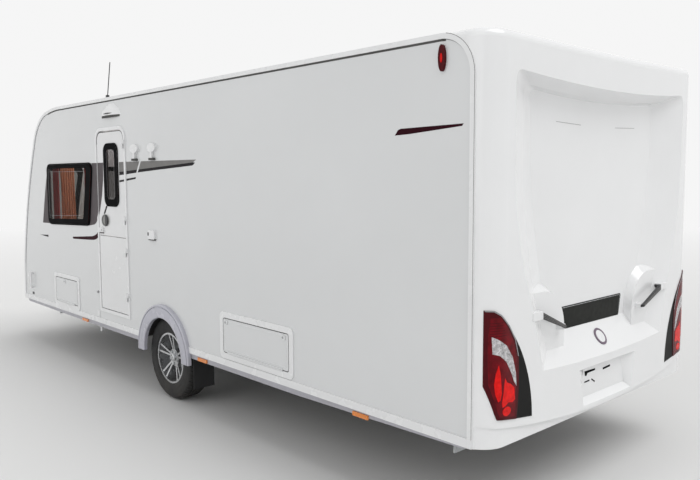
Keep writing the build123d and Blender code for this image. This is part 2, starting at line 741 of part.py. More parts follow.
door_glass = across(rounded(wy0, wy1, wz0, wz1, DOOR_WINDOW_R), LEAF_X[0] + 4, LEAF_X[1])
door_glass += across(
    rounded(wy0 - lap, wy1 + lap, wz0 - lap, wz1 + lap, DOOR_WINDOW_R + lap), LEAF_X[1], LEAF_X[1] + 10
)
parts["glass_door"] = door_glass

# Door handle: a half-oval cup with a pull over it, and a lock case below its front end
CUP_Y = DOOR_FRONT_Y + 160
CUP_Z = DOOR_SPLIT + 133
CUP_HALF = (70, 52)
CUP_PROUD = 9
LOCK_SIZE = (86, 40)
cup = across(Pos(CUP_Y, CUP_Z) * Ellipse(*CUP_HALF), LEAF_X[1], LEAF_X[1] + CUP_PROUD)
cup -= across(Pos(CUP_Y + 6, CUP_Z) * Ellipse(CUP_HALF[0] - 16, CUP_HALF[1] - 14), LEAF_X[1] + 2, HALF + CUP_PROUD)
cup += block(LEAF_X[1], LEAF_X[1] + 18, CUP_Y - 60, CUP_Y - 30, CUP_Z - 40, CUP_Z + 40)
lock_y = CUP_Y - 76
lock_z = CUP_Z - 84
lock_case = across(
    rounded(lock_y - LOCK_SIZE[0] / 2, lock_y + LOCK_SIZE[0] / 2, lock_z - LOCK_SIZE[1] / 2, lock_z + LOCK_SIZE[1] / 2, 12),
    LEAF_X[1],
    LEAF_X[1] + 14,
)
parts["door_handle"] = cup
parts["door_upper"] += lock_case


# Side hatches: a proud frame on the wall and a lid hinged along its foot, with latches near its top
LATCH_SIZE = (44, 34)
LATCH_PROUD = 6
# Columns: hatch, places of the latches along the lid
LATCHES = {"hatch_small": (0.43,), "hatch_large": (0.045, 0.935), "hatch_cassette": (0.5,)}
hatch_frames = []
for name, side_name, y0, y1, z0, z1 in HATCHES:
    side = SIDES[side_name]
    low, high = side_x(side, SHEET_X, SHEET_X + HATCH_PROUD)
    cut = (low - OVERCUT, high + OVERCUT)
    reach = HATCH_FRAME
    ring = across(rounded(y0 - reach, y1 + reach, z0 - reach, z1 + reach, HATCH_R + reach / 2), low, high)
    ring -= across(rounded(y0, y1, z0, z1, HATCH_R), *cut)
    for rail_piece in parts["side_rails"].solids():
        ring -= rail_piece
    hatch_frames.append(largest(ring))
    lid_low, lid_high = side_x(side, SHEET_X + HATCH_PROUD - LID_THICK, SHEET_X + HATCH_PROUD)
    gap = HATCH_GAP
    lid = across(rounded(y0 + gap, y1 - gap, z0 + gap, z1 - gap, HATCH_R - gap), lid_low, lid_high)
    hinge_x = side * HATCH_HINGE_X
    hinge_z = z0 + HATCH_HINGE_RISE
    pin_y = (y0 + HINGE_MARGIN, y1 - HINGE_MARGIN)
    lid += rod((hinge_x, pin_y[0], hinge_z), (hinge_x, pin_y[1], hinge_z), HINGE_PIN_R)
    web_low, web_high = side_x(side, HATCH_HINGE_X - 9, HATCH_HINGE_X + HINGE_PIN_R)
    lid += block(web_low, web_high, *pin_y, z0 + gap + 1, z0 + gap + 9)
    for place in LATCHES[name]:
        y = y0 + gap + place * (y1 - y0 - 2 * gap)
        z = z1 - gap - LATCH_SIZE[1] * 0.7
        latch = rounded(y - LATCH_SIZE[0] / 2, y + LATCH_SIZE[0] / 2, z - LATCH_SIZE[1] / 2, z + LATCH_SIZE[1] / 2, 12)
        latch_low, latch_high = side_x(side, SHEET_X, SHEET_X + HATCH_PROUD + LATCH_PROUD)
        lid += across(latch, latch_low, latch_high) & block(-BODY_WIDTH, BODY_WIDTH, y0 + gap, y1 - gap, z0, z1)
    parts[name] = lid


# Rooflights, on frames that line the openings in the roof
FRAME_RISE = 20
FRAME_REACH = 38
FRAME_LINING = 12
DOME_REACH = 20
DOME_SHEET = 8
DOME_TOP_R = 38
ROOFLIGHT_BASE = ROOF_EDGE + ROOF_CROWN + FRAME_RISE
rooflight_frames = []
domes = []
for name, y, length, width, height in ROOFLIGHTS:
    frame = rooflight_box(y, length, width, FRAME_REACH, ROOF_EDGE + 14, ROOFLIGHT_BASE)
    frame += rooflight_box(y, length, width, 0, ROOF_EDGE - 4, ROOF_EDGE + 24)
    frame -= rooflight_box(y, length, width, -FRAME_LINING, ROOF_EDGE - 2 * WALL, ABOVE_ROOF)
    rooflight_frames.append(largest(frame - parts["roof"]))
    dome = rooflight_box(y, length, width, DOME_REACH, ROOFLIGHT_BASE, ROOFLIGHT_BASE + height)
    dome = fillet(dome.edges().filter_by(lambda e: e.center().Z > ROOFLIGHT_BASE + 5), DOME_TOP_R)
    inside_top = ROOFLIGHT_BASE + height - DOME_TOP_R - 2
    dome -= rooflight_box(y, length, width, DOME_REACH - DOME_SHEET, ROOFLIGHT_BASE - OVERCUT, inside_top)
    domes.append(dome)
parts["opening_frames"] = one(hatch_frames + rooflight_frames)
parts["rooflight_domes"] = one(domes)


# Chassis rails: open channels under the floor, pierced by the axle tube
CHASSIS_FRONT_Y = FRONT_Y + 760
CHASSIS_REAR_Y = REAR_RAIL_Y - 180
CHASSIS_LOW = SIDE_BOTTOM - RAIL_DEPTH
TUBE_HALF = WHEEL_OUTER_X - TYRE_WIDTH - 70
TUBE_CLEAR = 3
channel = block(RAIL_X - RAIL_FLANGE, RAIL_X, CHASSIS_FRONT_Y, CHASSIS_REAR_Y, CHASSIS_LOW, SIDE_BOTTOM)
channel -= block(
    RAIL_X - RAIL_FLANGE - OVERCUT,
    RAIL_X - RAIL_PLATE,
    CHASSIS_FRONT_Y - OVERCUT,
    CHASSIS_REAR_Y + OVERCUT,
    CHASSIS_LOW + RAIL_PLATE,
    SIDE_BOTTOM - RAIL_PLATE,
)
channel -= rod((-TUBE_HALF, TUBE_Y, TUBE_Z), (TUBE_HALF, TUBE_Y, TUBE_Z), AXLE_TUBE_R + TUBE_CLEAR)

# Lightening holes along the rails
LIGHTENING_R = 28
LIGHTENING_STEP = 420
hole_y = CHASSIS_FRONT_Y + LIGHTENING_STEP
while hole_y < CHASSIS_REAR_Y - LIGHTENING_STEP / 2:
    if abs(hole_y - TUBE_Y) > LIGHTENING_STEP / 2:
        middle_z = CHASSIS_LOW + RAIL_DEPTH / 2
        channel -= rod((RAIL_X - 2 * RAIL_PLATE, hole_y, middle_z), (RAIL_X + OVERCUT, hole_y, middle_z), LIGHTENING_R)
    hole_y += LIGHTENING_STEP
parts["chassis_rails"] = one(both_sides(channel))

CROSS_Y = (CHASSIS_FRONT_Y + 100, CHASSIS_FRONT_Y + 1360, AXLE_Y + 1380, CHASSIS_REAR_Y - 80)
CROSS_FLANGE = 50
CROSS_SHEET = 3
CROSS_RISE = 30
cross_x = RAIL_X - RAIL_PLATE
cross_z = (CHASSIS_LOW + CROSS_RISE, SIDE_BOTTOM - RAIL_PLATE)
crosses = []
for y in CROSS_Y:
    cross = block(-cross_x, cross_x, y, y + CROSS_FLANGE, *cross_z)
    cross -= block(
        -cross_x, cross_x, y + CROSS_SHEET, y + 2 * CROSS_FLANGE, cross_z[0] + CROSS_SHEET, cross_z[1] - CROSS_SHEET
    )
    crosses.append(cross)
parts["cross_members"] = one(crosses)


# Drawbar: two channels that run from the chassis to the overrun housing
COUPLING_Y = FRONT_Y - DRAWBAR_REACH
DRAWBAR_FRONT_Y = COUPLING_Y + 147
BAR_WIDTH = 50
BAR_PLATE = 4
BAR_FRONT_X = 70
BAR_FRONT_Z = (COUPLING_Z - 35, COUPLING_Z + 43)
BAR_BEND_Y = FRONT_Y - FRONT_BOW - 40
BAR_BEND_Z = (SIDE_BOTTOM - 90, SIDE_BOTTOM - 4)
BAR_REAR_Z = (SIDE_BOTTOM - 98, SIDE_BOTTOM - 2)


def bar_section(x, y, z0, z1, inset):
    """A section of the channel, or of the space inside it, which is open to the middle."""
    plane = Plane(origin=(x - inset, y, (z0 + z1) / 2), x_dir=(1, 0, 0), z_dir=(0, -1, 0))
    return plane * Rectangle(BAR_WIDTH, z1 - z0 - 2 * inset)


def drawbar_beam(side):
    rear_x = RAIL_X - RAIL_FLANGE / 2 - BAR_PLATE
    bend_share = (BAR_BEND_Y - CHASSIS_FRONT_Y) / (DRAWBAR_FRONT_Y - CHASSIS_FRONT_Y)
    bend_x = rear_x + (BAR_FRONT_X - rear_x) * bend_share
    shapes = []
    for inset in (0, BAR_PLATE):
        sections = [
            bar_section(rear_x, CHASSIS_FRONT_Y + inset, *BAR_REAR_Z, inset),
            bar_section(bend_x, BAR_BEND_Y, *BAR_BEND_Z, inset),
            bar_section(BAR_FRONT_X, DRAWBAR_FRONT_Y - inset, *BAR_FRONT_Z, inset),
        ]
        shapes.append(loft(sections, ruled=True))
    beam = shapes[0] - shapes[1]
    if side < 0:
        beam = mirror(beam, about=Plane.YZ)
    return beam


parts["drawbar_nearside"] = drawbar_beam(1)
parts["drawbar_offside"] = drawbar_beam(-1)

# Overrun housing, its damper tube, coupling head and handbrake
NOSE_R = 45
HEAD_LOW = COUPLING_Z - 22
HEAD_HIGH = COUPLING_Z + 34
SHAFT_R = 26
HOUSING_REAR_Y = DRAWBAR_FRONT_Y + 150
HOUSING_HALF = (46, 86)
housing_plan = make_face(
    Polyline(
        (-HOUSING_HALF[0], DRAWBAR_FRONT_Y - 10),
        (HOUSING_HALF[0], DRAWBAR_FRONT_Y - 10),
        (HOUSING_HALF[1], HOUSING_REAR_Y),
        (-HOUSING_HALF[1], HOUSING_REAR_Y),
        close=True,
    )
)
housing = upward(housing_plan, BAR_FRONT_Z[0] + 1, BAR_FRONT_Z[1] - 5)
housing -= parts["drawbar_nearside"]
housing -= parts["drawbar_offside"]
housing = largest(housing)
shaft_start = (0, HOUSING_REAR_Y + 30, COUPLING_Z)
shaft_end = (0, COUPLING_Y + 60, COUPLING_Z)
housing += rod(shaft_start, shaft_end, SHAFT_R)
# Rings of the bellows round the shaft
BELLOWS_R = 33
BELLOWS_STEP = 9
BELLOWS_COUNT = 3
for index in range(BELLOWS_COUNT):
    ring_y = DRAWBAR_FRONT_Y - 12 - index * BELLOWS_STEP
    ring = Pos(0, ring_y, COUPLING_Z) * Rot(90, 0, 0) * Torus(BELLOWS_R - 5, 5)
    housing += ring
head = upward(Pos(0, COUPLING_Y) * Circle(NOSE_R), HEAD_LOW, HEAD_HIGH)
head = fillet(head.edges().sort_by(Axis.Z)[-1], 14)
head += block(-34, 34, COUPLING_Y, COUPLING_Y + 106, HEAD_LOW, HEAD_HIGH + 6)
head -= Pos(0, COUPLING_Y, HEAD_LOW + 10) * Cylinder(BALL_R, 40)
head -= rod(shaft_start, shaft_end, SHAFT_R)
head += rod((0, COUPLING_Y + 70, COUPLING_Z + 46), (0, COUPLING_Y + 250, COUPLING_Z + 96), 11)
head += block(-14, 14, COUPLING_Y + 40, COUPLING_Y + 90, COUPLING_Z + 30, COUPLING_Z + 60)
parts["coupling_head"] = head
LEVER_X = 52
LEVER_Y = COUPLING_Y + 227
lever = rod((LEVER_X, LEVER_Y, COUPLING_Z + 32), (LEVER_X, LEVER_Y + 220, COUPLING_Z + 210), 10)
lever += rod((LEVER_X, LEVER_Y + 180, COUPLING_Z + 178), (LEVER_X, LEVER_Y + 270, COUPLING_Z + 251), 15)
lever -= parts["drawbar_nearside"]
lever -= housing
parts["overrun"] = housing + lever


# Jockey wheel on the offside beam
JOCKEY_X = -250
JOCKEY_Y = COUPLING_Y + 527
JOCKEY_WHEEL_R = 100
JOCKEY_WHEEL_WIDTH = 58
JOCKEY_TRAVEL = 130
JOCKEY_TRAIL = 45
TUBE_R = 24
LEG_R = 20
LEG_CLEAR = 0.8
TUBE_LOW = COUPLING_Z - 38
TUBE_TOP = COUPLING_Z + 400
TUBE_CAP = 20
LEG_LOW = 236
FORK_PIN_R = 10
FORK_PIN_RISE = 18
FORK_X = (36, 42)
CRANK_REACH = 120
jockey_tube = rod((JOCKEY_X, JOCKEY_Y, TUBE_LOW), (JOCKEY_X, JOCKEY_Y, TUBE_TOP), TUBE_R)
jockey_tube -= rod(
    (JOCKEY_X, JOCKEY_Y, TUBE_LOW - OVERCUT), (JOCKEY_X, JOCKEY_Y, TUBE_TOP - TUBE_CAP), LEG_R + LEG_CLEAR
)
clamp = block(JOCKEY_X - 34, JOCKEY_X + 75, JOCKEY_Y - 28, JOCKEY_Y + 28, TUBE_LOW + 10, TUBE_LOW + 60)
clamp -= rod((JOCKEY_X, JOCKEY_Y, TUBE_LOW), (JOCKEY_X, JOCKEY_Y, TUBE_TOP), TUBE_R)
clamp = largest(clamp - parts["drawbar_offside"])
crank = rod((JOCKEY_X, JOCKEY_Y, TUBE_TOP), (JOCKEY_X, JOCKEY_Y, TUBE_TOP + 40), 8)
crank += block(
    JOCKEY_X - 12, JOCKEY_X + 12, JOCKEY_Y - 10, JOCKEY_Y + CRANK_REACH + 10, TUBE_TOP + 30, TUBE_TOP + 42
)
crank += rod(
    (JOCKEY_X, JOCKEY_Y + CRANK_REACH, TUBE_TOP + 36), (JOCKEY_X, JOCKEY_Y + CRANK_REACH, TUBE_TOP + 130), 11
)
parts["jockey_clamp"] = jockey_tube + crank + clamp
leg_top = TUBE_TOP - TUBE_CAP - JOCKEY_TRAVEL - 20
leg = rod((JOCKEY_X, JOCKEY_Y, LEG_LOW), (JOCKEY_X, JOCKEY_Y, leg_top), LEG_R)
leg -= rod(
    (JOCKEY_X, JOCKEY_Y, LEG_LOW - OVERCUT), (JOCKEY_X, JOCKEY_Y, LEG_LOW + FORK_PIN_RISE + 4), FORK_PIN_R + 0.1
)
parts["jockey_leg"] = leg
fork_axle = (JOCKEY_X, JOCKEY_Y + JOCKEY_TRAIL, JOCKEY_WHEEL_R)
fork = block(JOCKEY_X - FORK_X[1], JOCKEY_X + FORK_X[1], JOCKEY_Y - 30, JOCKEY_Y + 62, LEG_LOW - 14, LEG_LOW - 1)
fork += rod((JOCKEY_X, JOCKEY_Y, LEG_LOW - 6), (JOCKEY_X, JOCKEY_Y, LEG_LOW + FORK_PIN_RISE), FORK_PIN_R)
for way in SIDES.values():
    x0, x1 = side_x(way, *FORK_X)
    fork += block(
        JOCKEY_X + x0, JOCKEY_X + x1, JOCKEY_Y + 22, JOCKEY_Y + 62, JOCKEY_WHEEL_R - 18, LEG_LOW - OVERCUT
    )
fork += rod((JOCKEY_X - FORK_X[1], *fork_axle[1:]), (JOCKEY_X + FORK_X[1], *fork_axle[1:]), 8)
parts["jockey_fork"] = fork
jockey_wheel = Pos(*fork_axle) * Rot(0, 90, 0) * Cylinder(JOCKEY_WHEEL_R, JOCKEY_WHEEL_WIDTH)
jockey_wheel = fillet(jockey_wheel.edges().filter_by(GeomType.CIRCLE), 14)
for way in SIDES.values():
    face_x = fork_axle[0] + way * JOCKEY_WHEEL_WIDTH / 2
    dish = rod((face_x - way * 9, *fork_axle[1:]), (face_x + way, *fork_axle[1:]), JOCKEY_WHEEL_R * 0.68)
    dish -= rod((face_x - way * 9, *fork_axle[1:]), (face_x + way, *fork_axle[1:]), JOCKEY_WHEEL_R * 0.26)
    jockey_wheel -= dish
jockey_wheel -= Pos(*fork_axle) * Rot(0, 90, 0) * Cylinder(8.1, 2 * JOCKEY_WHEEL_WIDTH)
parts["jockey_wheel"] = jockey_wheel


# Corner steadies, folded up. Columns: name, side, pivot y, direction along y
STEADY_X = HALF - 230
STEADY_Z = SIDE_BOTTOM - 43
STEADY_LENGTH = 430
STEADY_DROOP = 7
STEADY_PIN_R = 8
STEADIES = [
    ("steady_front_nearside", 1, FRONT_Y + 910, -1),
    ("steady_front_offside", -1, FRONT_Y + 910, -1),
    ("steady_rear_nearside", 1, REAR_RAIL_Y - 670, 1),
    ("steady_rear_offside", -1, REAR_RAIL_Y - 670, 1),
]
brackets = []
for name, side, pivot_y, way in STEADIES:
    x = side * STEADY_X
    droop = math.radians(STEADY_DROOP)
    pivot = Pos(x, pivot_y, STEADY_Z) * Rot(0, 90, 0)
    along = Plane(origin=(x, pivot_y, STEADY_Z), x_dir=(1, 0, 0), z_dir=(0, way * math.cos(droop), -math.sin(droop)))
    bar = along * Box(50, 30, STEADY_LENGTH, align=(Align.CENTER, Align.CENTER, Align.MIN))
    bar -= along * Pos(0, 0, 40) * Box(42, 40, STEADY_LENGTH - 80, align=(Align.CENTER, Align.MIN, Align.MIN))
    bar += pivot * Cylinder(17, 50)
    bar -= pivot * Cylinder(STEADY_PIN_R + 0.1, 80)
    bar += along * Pos(0, 0, STEADY_LENGTH) * Box(96, 80, 12)
    parts[name] = bar
    bracket = pivot * Cylinder(STEADY_PIN_R, 76)
    for offset in SIDES.values():
        x0, x1 = side_x(offset, 32, 38)
        bracket += block(x + x0, x + x1, pivot_y - 40, pivot_y + 40, STEADY_Z - 22, SIDE_BOTTOM)
    brackets.append(bracket)
parts["steady_brackets"] = one(brackets)


# Axle: a tube on brackets, trailing arms, stub axles and brake backplates
STUB_R = 22
ARM_X = (TUBE_HALF - 4, TUBE_HALF + 26)
BACKPLATE_X = ARM_X[1] + 8
STUB_END_X = WHEEL_OUTER_X - 138
BACKPLATE_R = 132
axle = rod((-TUBE_HALF, TUBE_Y, TUBE_Z), (TUBE_HALF, TUBE_Y, TUBE_Z), AXLE_TUBE_R)
for side in SIDES.values():
    low, high = side_x(side, RAIL_X, RAIL_X + 8)
    axle += block(low, high, TUBE_Y - 90, TUBE_Y + 70, TUBE_Z - 30, SIDE_BOTTOM - 10)
    low, high = side_x(side, *ARM_X)
    arm = make_hull((Pos(TUBE_Y, TUBE_Z) * Circle(52)).edges() + (Pos(AXLE_Y, TYRE_R) * Circle(34)).edges())
    axle += across(arm, low, high)
    low, high = side_x(side, ARM_X[1], BACKPLATE_X)
    axle += wheel_cylinder(BACKPLATE_R, low, high)
    low, high = side_x(side, ARM_X[1], STUB_END_X)
    axle += wheel_cylinder(STUB_R, low, high)
parts["axle"] = axle


# Wheels: tyre, alloy rim with five pairs of dished spokes, brake drum
RIM_INNER_X = WHEEL_OUTER_X - TYRE_WIDTH + 14
RIM_OUTER_X = WHEEL_OUTER_X - 12
RIM_SHEET = 13
HUB_R = 66
DRUM_R = 125
DRUM_X = (BACKPLATE_X + 6, STUB_END_X + 1)
SPOKE_PAIRS = 5
SPOKE_SPREAD = 9
SPOKE_WIDTH = 15
BEAD_SEAT = 0.05
STUB_CLEAR = 0.1


def ring_x(outer, inner, x0, x1):
    return wheel_cylinder(outer, x0, x1) - wheel_cylinder(inner, x0 - OVERCUT, x1 + OVERCUT)


# Half of the tyre's section, in (x from its middle, radius): bead, sidewall, shoulder, tread
half_width = TYRE_WIDTH / 2
bead = (half_width - 12, RIM_R + BEAD_SEAT)
bulge = (half_width, (TYRE_R + RIM_R) / 2)
shoulder = (half_width - 16, TYRE_R - 12)
tread_edge = (half_width - 30, TYRE_R - 3)
tread_top = (0, TYRE_R)
tyre_edges = []
for way in (1, -1):
    points = [(way * x, r) for x, r in (bead, bulge, shoulder, tread_edge, tread_top)]
    tyre_edges += [
        ThreePointArc(points[0], points[1], points[2]),
        Line(points[2], points[3]),
        Line(points[3], points[4]),
    ]
tyre_edges.append(Line((-bead[0], bead[1]), bead))
tyre_section = Pos(WHEEL_OUTER_X - half_width, 0) * make_face(tyre_edges)
tyre = Pos(0, AXLE_Y, TYRE_R) * revolve(tyre_section, Axis.X, 360)

rim = ring_x(RIM_R, RIM_R - RIM_SHEET, RIM_INNER_X, RIM_OUTER_X)
rim += wheel_cylinder(HUB_R, DRUM_X[1], WHEEL_OUTER_X - 46)
# A spoke's side, in (x, radius): it stands out from the hub to the rim's edge
spoke_side = make_face(
    Polyline(
        (WHEEL_OUTER_X - 48, HUB_R - 26),
        (WHEEL_OUTER_X - 22, RIM_R - RIM_SHEET - 10),
        (WHEEL_OUTER_X - 16, RIM_R - OVERCUT),
        (WHEEL_OUTER_X - 50, RIM_R - OVERCUT),
        (WHEEL_OUTER_X - 72, HUB_R - 26),
        close=True,
    )
)
spoke_face = extrude(Plane.XZ.offset(-SPOKE_WIDTH / 2) * spoke_side, amount=SPOKE_WIDTH)
for index in range(SPOKE_PAIRS):
    for lean in (-SPOKE_SPREAD, SPOKE_SPREAD):
        turn = Rot(index * 360 / SPOKE_PAIRS + lean, 0, 0)
        rim += Pos(0, AXLE_Y, TYRE_R) * turn * spoke_face
rim += wheel_cylinder(30, WHEEL_OUTER_X - 46, WHEEL_OUTER_X - 36)
drum = wheel_cylinder(DRUM_R, *DRUM_X)
drum -= wheel_cylinder(STUB_R + STUB_CLEAR, DRUM_X[0] - 30, DRUM_X[1])
rim -= wheel_cylinder(STUB_R + STUB_CLEAR, DRUM_X[0], STUB_END_X + 10)
for side_name, side in SIDES.items():
    pieces = {"tyre": tyre, "wheel": rim + drum}
    for name, piece in pieces.items():
        if side < 0:
            piece = mirror(piece, about=Plane.YZ)
        parts[name + "_" + side_name] = piece


# Furniture that shows through the windows, of boards, open at its foot.
# Columns: name, x0, x1, y0, y1, z0, z1
CABIN_X = LINING_X - 6
AISLE_HALF = CABIN_X - 616
CHEST_HALF = AISLE_HALF - 100
KITCHEN_X = CABIN_X - 566
WARDROBE_X = CABIN_X - 576
BED_X = CABIN_X - 546
BOARD = 18
LOCKER_BACK_Y = FRONT_Y + 340
SEAT_FRONT_Y = LOCKER_BACK_Y + 20
BULKHEAD_Y = AXLE_Y + 540
BULKHEAD_THICK = 30
BED_FRONT_Y = BULKHEAD_Y + 540
BED_REAR_Y = REAR_RAIL_Y - 80
SEAT_TOP = 880
BED_TOP = 900
CEILING = ROOF_EDGE - WALL - 16
FURNITURE = [
    ("nearside_seat", AISLE_HALF, CABIN_X, SEAT_FRONT_Y, FRONT_Y + 1780, FLOOR_TOP, SEAT_TOP),
    ("offside_seat", -CABIN_X, -AISLE_HALF, SEAT_FRONT_Y, FRONT_Y + 1780, FLOOR_TOP, SEAT_TOP),
    ("front_chest", -CHEST_HALF, CHEST_HALF, SEAT_FRONT_Y, SEAT_FRONT_Y + 320, FLOOR_TOP, 1000),
    ("kitchen_unit", -CABIN_X, -KITCHEN_X, FRONT_Y + 1860, BULKHEAD_Y - 10, FLOOR_TOP, 1230),
    ("wardrobe", WARDROBE_X, CABIN_X, DOOR_REAR_Y + 70, BULKHEAD_Y - 10, FLOOR_TOP, CEILING - 30),
    ("bed_base", -BED_X, CABIN_X, BED_FRONT_Y, BED_REAR_Y, FLOOR_TOP, BED_TOP),
]
behind_front = block(-BODY_WIDTH, BODY_WIDTH, ROOF_START_Y, REAR_RAIL_Y, 0, ABOVE_ROOF)
lining_space = front_mass(WALL + 6, 0)
board_space = front_mass(WALL + 6 + BOARD, 0)
furniture = []
for name, x0, x1, y0, y1, z0, z1 in FURNITURE:
    piece = block(x0, x1, y0, y1, z0, z1)
    inside = block(x0 + BOARD, x1 - BOARD, y0 + BOARD, y1 - BOARD, z0 - 1, z1 - BOARD)
    for side in SIDES.values():
        low, high = side_x(side, WHEEL_BOX_X - 4, LINING_X)
        piece -= wheel_cylinder(WHEEL_BOX_R + 4, low, high)
        low, high = side_x(side, WHEEL_BOX_X - 4 - BOARD, LINING_X)
        inside -= wheel_cylinder(WHEEL_BOX_R + 4 + BOARD, low, high)
    if y0 < ROOF_START_Y:
        piece &= lining_space + behind_front
        inside &= board_space + behind_front
    piece -= inside
    for hatch, side_name, hy0, hy1, hz0, hz1 in HATCHES:
        low, high = side_x(SIDES[side_name], CABIN_X - BOARD - 1, CABIN_X + 1)
        piece -= block(low, high, hy0, hy1, hz0, hz1)
    furniture.append(piece)

# The gas locker behind its lid: boards on five sides, open to the front
GAS_HALF = LOCKER_HALF + 40
gas_locker = block(-GAS_HALF, GAS_HALF, FRONT_Y - FRONT_BOW, LOCKER_BACK_Y, FLOOR_TOP, LOCKER_Z[1] + 60)
gas_locker -= block(
    -GAS_HALF + BOARD,
    GAS_HALF - BOARD,
    FRONT_Y - 2 * FRONT_BOW,
    LOCKER_BACK_Y - BOARD,
    FLOOR_TOP + BOARD,
    LOCKER_Z[1] + 60 - BOARD,
)
furniture.append(gas_locker & lining_space)

# The bulkhead ahead of the bed, with its doorway
bulkhead = block(-CABIN_X, CABIN_X, BULKHEAD_Y, BULKHEAD_Y + BULKHEAD_THICK, FLOOR_TOP, CEILING)
bulkhead -= block(-KITCHEN_X + 40, WARDROBE_X - 230, BULKHEAD_Y - WALL, BULKHEAD_Y + 2 * WALL, FLOOR_TOP + WALL, CEILING - 80)
furniture.append(bulkhead)
parts["furniture"] = one(furniture)

# Closed-in heavy units. Columns: name, x0, x1, y0, y1, z0, z1
UNIT_X = CABIN_X - 86
SERVICE_UNITS = [
    ("water_heater", -UNIT_X, -UNIT_X + 400, FRONT_Y + 920, FRONT_Y + 1370, FLOOR_TOP, SEAT_TOP - 80),
    ("space_heater", UNIT_X - 400, UNIT_X, FRONT_Y + 920, FRONT_Y + 1370, FLOOR_TOP, SEAT_TOP - 80),
    ("battery", -UNIT_X + 60, -UNIT_X + 460, SEAT_FRONT_Y + 40, SEAT_FRONT_Y + 320, FLOOR_TOP, SEAT_TOP - 160),
    ("fridge", -UNIT_X, -UNIT_X + 440, FRONT_Y + 1880, FRONT_Y + 2360, FLOOR_TOP, 1100),
    ("cassette_tank", -UNIT_X, -UNIT_X + 330, REAR_RAIL_Y - 980, REAR_RAIL_Y - 600, FLOOR_TOP + 50, 880),
]
parts["service_units"] = one([block(*unit[1:]) for unit in SERVICE_UNITS])

# Cushions, mattress and curtains. Columns: x0, x1, y0, y1, z0, z1
BACK_THICK = 106
PAD_CLEAR = 4
PAD_TOP = SEAT_TOP + 130
BACK_TOP = PAD_TOP + 220
PAD_Y = (FRONT_Y + 420, FRONT_Y + 1770)
PADS = [
    (AISLE_HALF + 20, CABIN_X - BACK_THICK - PAD_CLEAR, *PAD_Y, SEAT_TOP, PAD_TOP),
    (-CABIN_X + BACK_THICK + PAD_CLEAR, -AISLE_HALF - 20, *PAD_Y, SEAT_TOP, PAD_TOP),
    (CABIN_X - BACK_THICK, CABIN_X, *PAD_Y, SEAT_TOP + PAD_CLEAR, BACK_TOP),
    (-CABIN_X, -CABIN_X + BACK_THICK, *PAD_Y, SEAT_TOP + PAD_CLEAR, BACK_TOP),
    (-BED_X + 20, CABIN_X - 20, BED_FRONT_Y + 20, BED_REAR_Y - 20, BED_TOP + PAD_CLEAR, BED_TOP + 150),
]
parts["cushions"] = one([block(*pad) for pad in PADS])
window_front, window_rear = SIDE_WINDOWS["nearside"][0][1:3]
window_high, window_lean = SIDE_WINDOWS["nearside"][0][4:6]
CURTAIN_WIDTH = 180
CURTAIN_THICK = 22
CURTAIN_INSET = 10
curtain_solids = []
for y0 in (window_front + CURTAIN_INSET, window_rear - window_lean - CURTAIN_INSET - CURTAIN_WIDTH):
    curtain_solids += both_sides(
        block(
            CABIN_X - CURTAIN_THICK - 8,
            CABIN_X - 8,
            y0,
            y0 + CURTAIN_WIDTH,
            BACK_TOP + PAD_CLEAR,
            window_high + 54,
        )
    )
parts["curtains"] = one(curtain_solids)


# Small fittings on the walls and roof
# The hood over the door's lamp stands out most at its foot.
# Columns: z above the door's top, half length on the wall, how far it stands out
PORCH_Y = (DOOR_FRONT_Y + DOOR_REAR_Y) / 2 + 31
PORCH_SECTIONS = [(94, 188, 35), (144, 152, 27), (190, 60, 5)]
porch_sections = []
for rise, half_length, proud in PORCH_SECTIONS:
    tips = [(SHEET_X, PORCH_Y - half_length), (SHEET_X, PORCH_Y + half_length)]
    edges = [ThreePointArc(tips[0], (SHEET_X + proud, PORCH_Y), tips[1]), Line(tips[1], tips[0])]
    porch_sections.append(Plane.XY.offset(DOOR_TOP + rise) * make_face(edges))
fittings = [loft(porch_sections, ruled=True)]

# Two mushroom-shaped brackets beside the door
FITTING_Y = (DOOR_REAR_Y + 172, DOOR_REAR_Y + 458)
FITTING_Z = DOOR_TOP - 192
FITTING_HEAD = (62, 34)
FITTING_STEM = 92
for y in FITTING_Y:
    head_face = Pos(y, FITTING_Z) * Ellipse(*FITTING_HEAD)
    head_face += rounded(y - 13, y + 13, FITTING_Z - FITTING_STEM, FITTING_Z, 8)
    fittings.append(across(head_face, SHEET_X, SHEET_X + 20))
RETAINER = (DOOR_REAR_Y + 370, DOOR_REAR_Y + 470, DOOR_SPLIT + 21, DOOR_SPLIT + 91)
fittings.append(across(rounded(*RETAINER, 12), SHEET_X, SHEET_X + 18))
STEP_PLATE = (DOOR_FRONT_Y - 66, DOOR_FRONT_Y - 26, SIDE_BOTTOM + 50, SIDE_BOTTOM + 112)
fittings.append(across(rounded(*STEP_PLATE, 6), SHEET_X, SHEET_X + 6))

# Upright grab handles at the front corners
HANDLE_Y = FRONT_Y + 249
HANDLE_Z = (563, 733)
HANDLE_R = 11
HANDLE_STAND = 24
handle_x = SHEET_X + HANDLE_STAND
front_handle = rod((handle_x, HANDLE_Y, HANDLE_Z[0]), (handle_x, HANDLE_Y, HANDLE_Z[1]), HANDLE_R)
for z in (HANDLE_Z[0] + HANDLE_R, HANDLE_Z[1] - HANDLE_R):
    front_handle += rod((SHEET_X, HANDLE_Y, z), (handle_x, HANDLE_Y, z), HANDLE_R)
fittings += both_sides(front_handle)

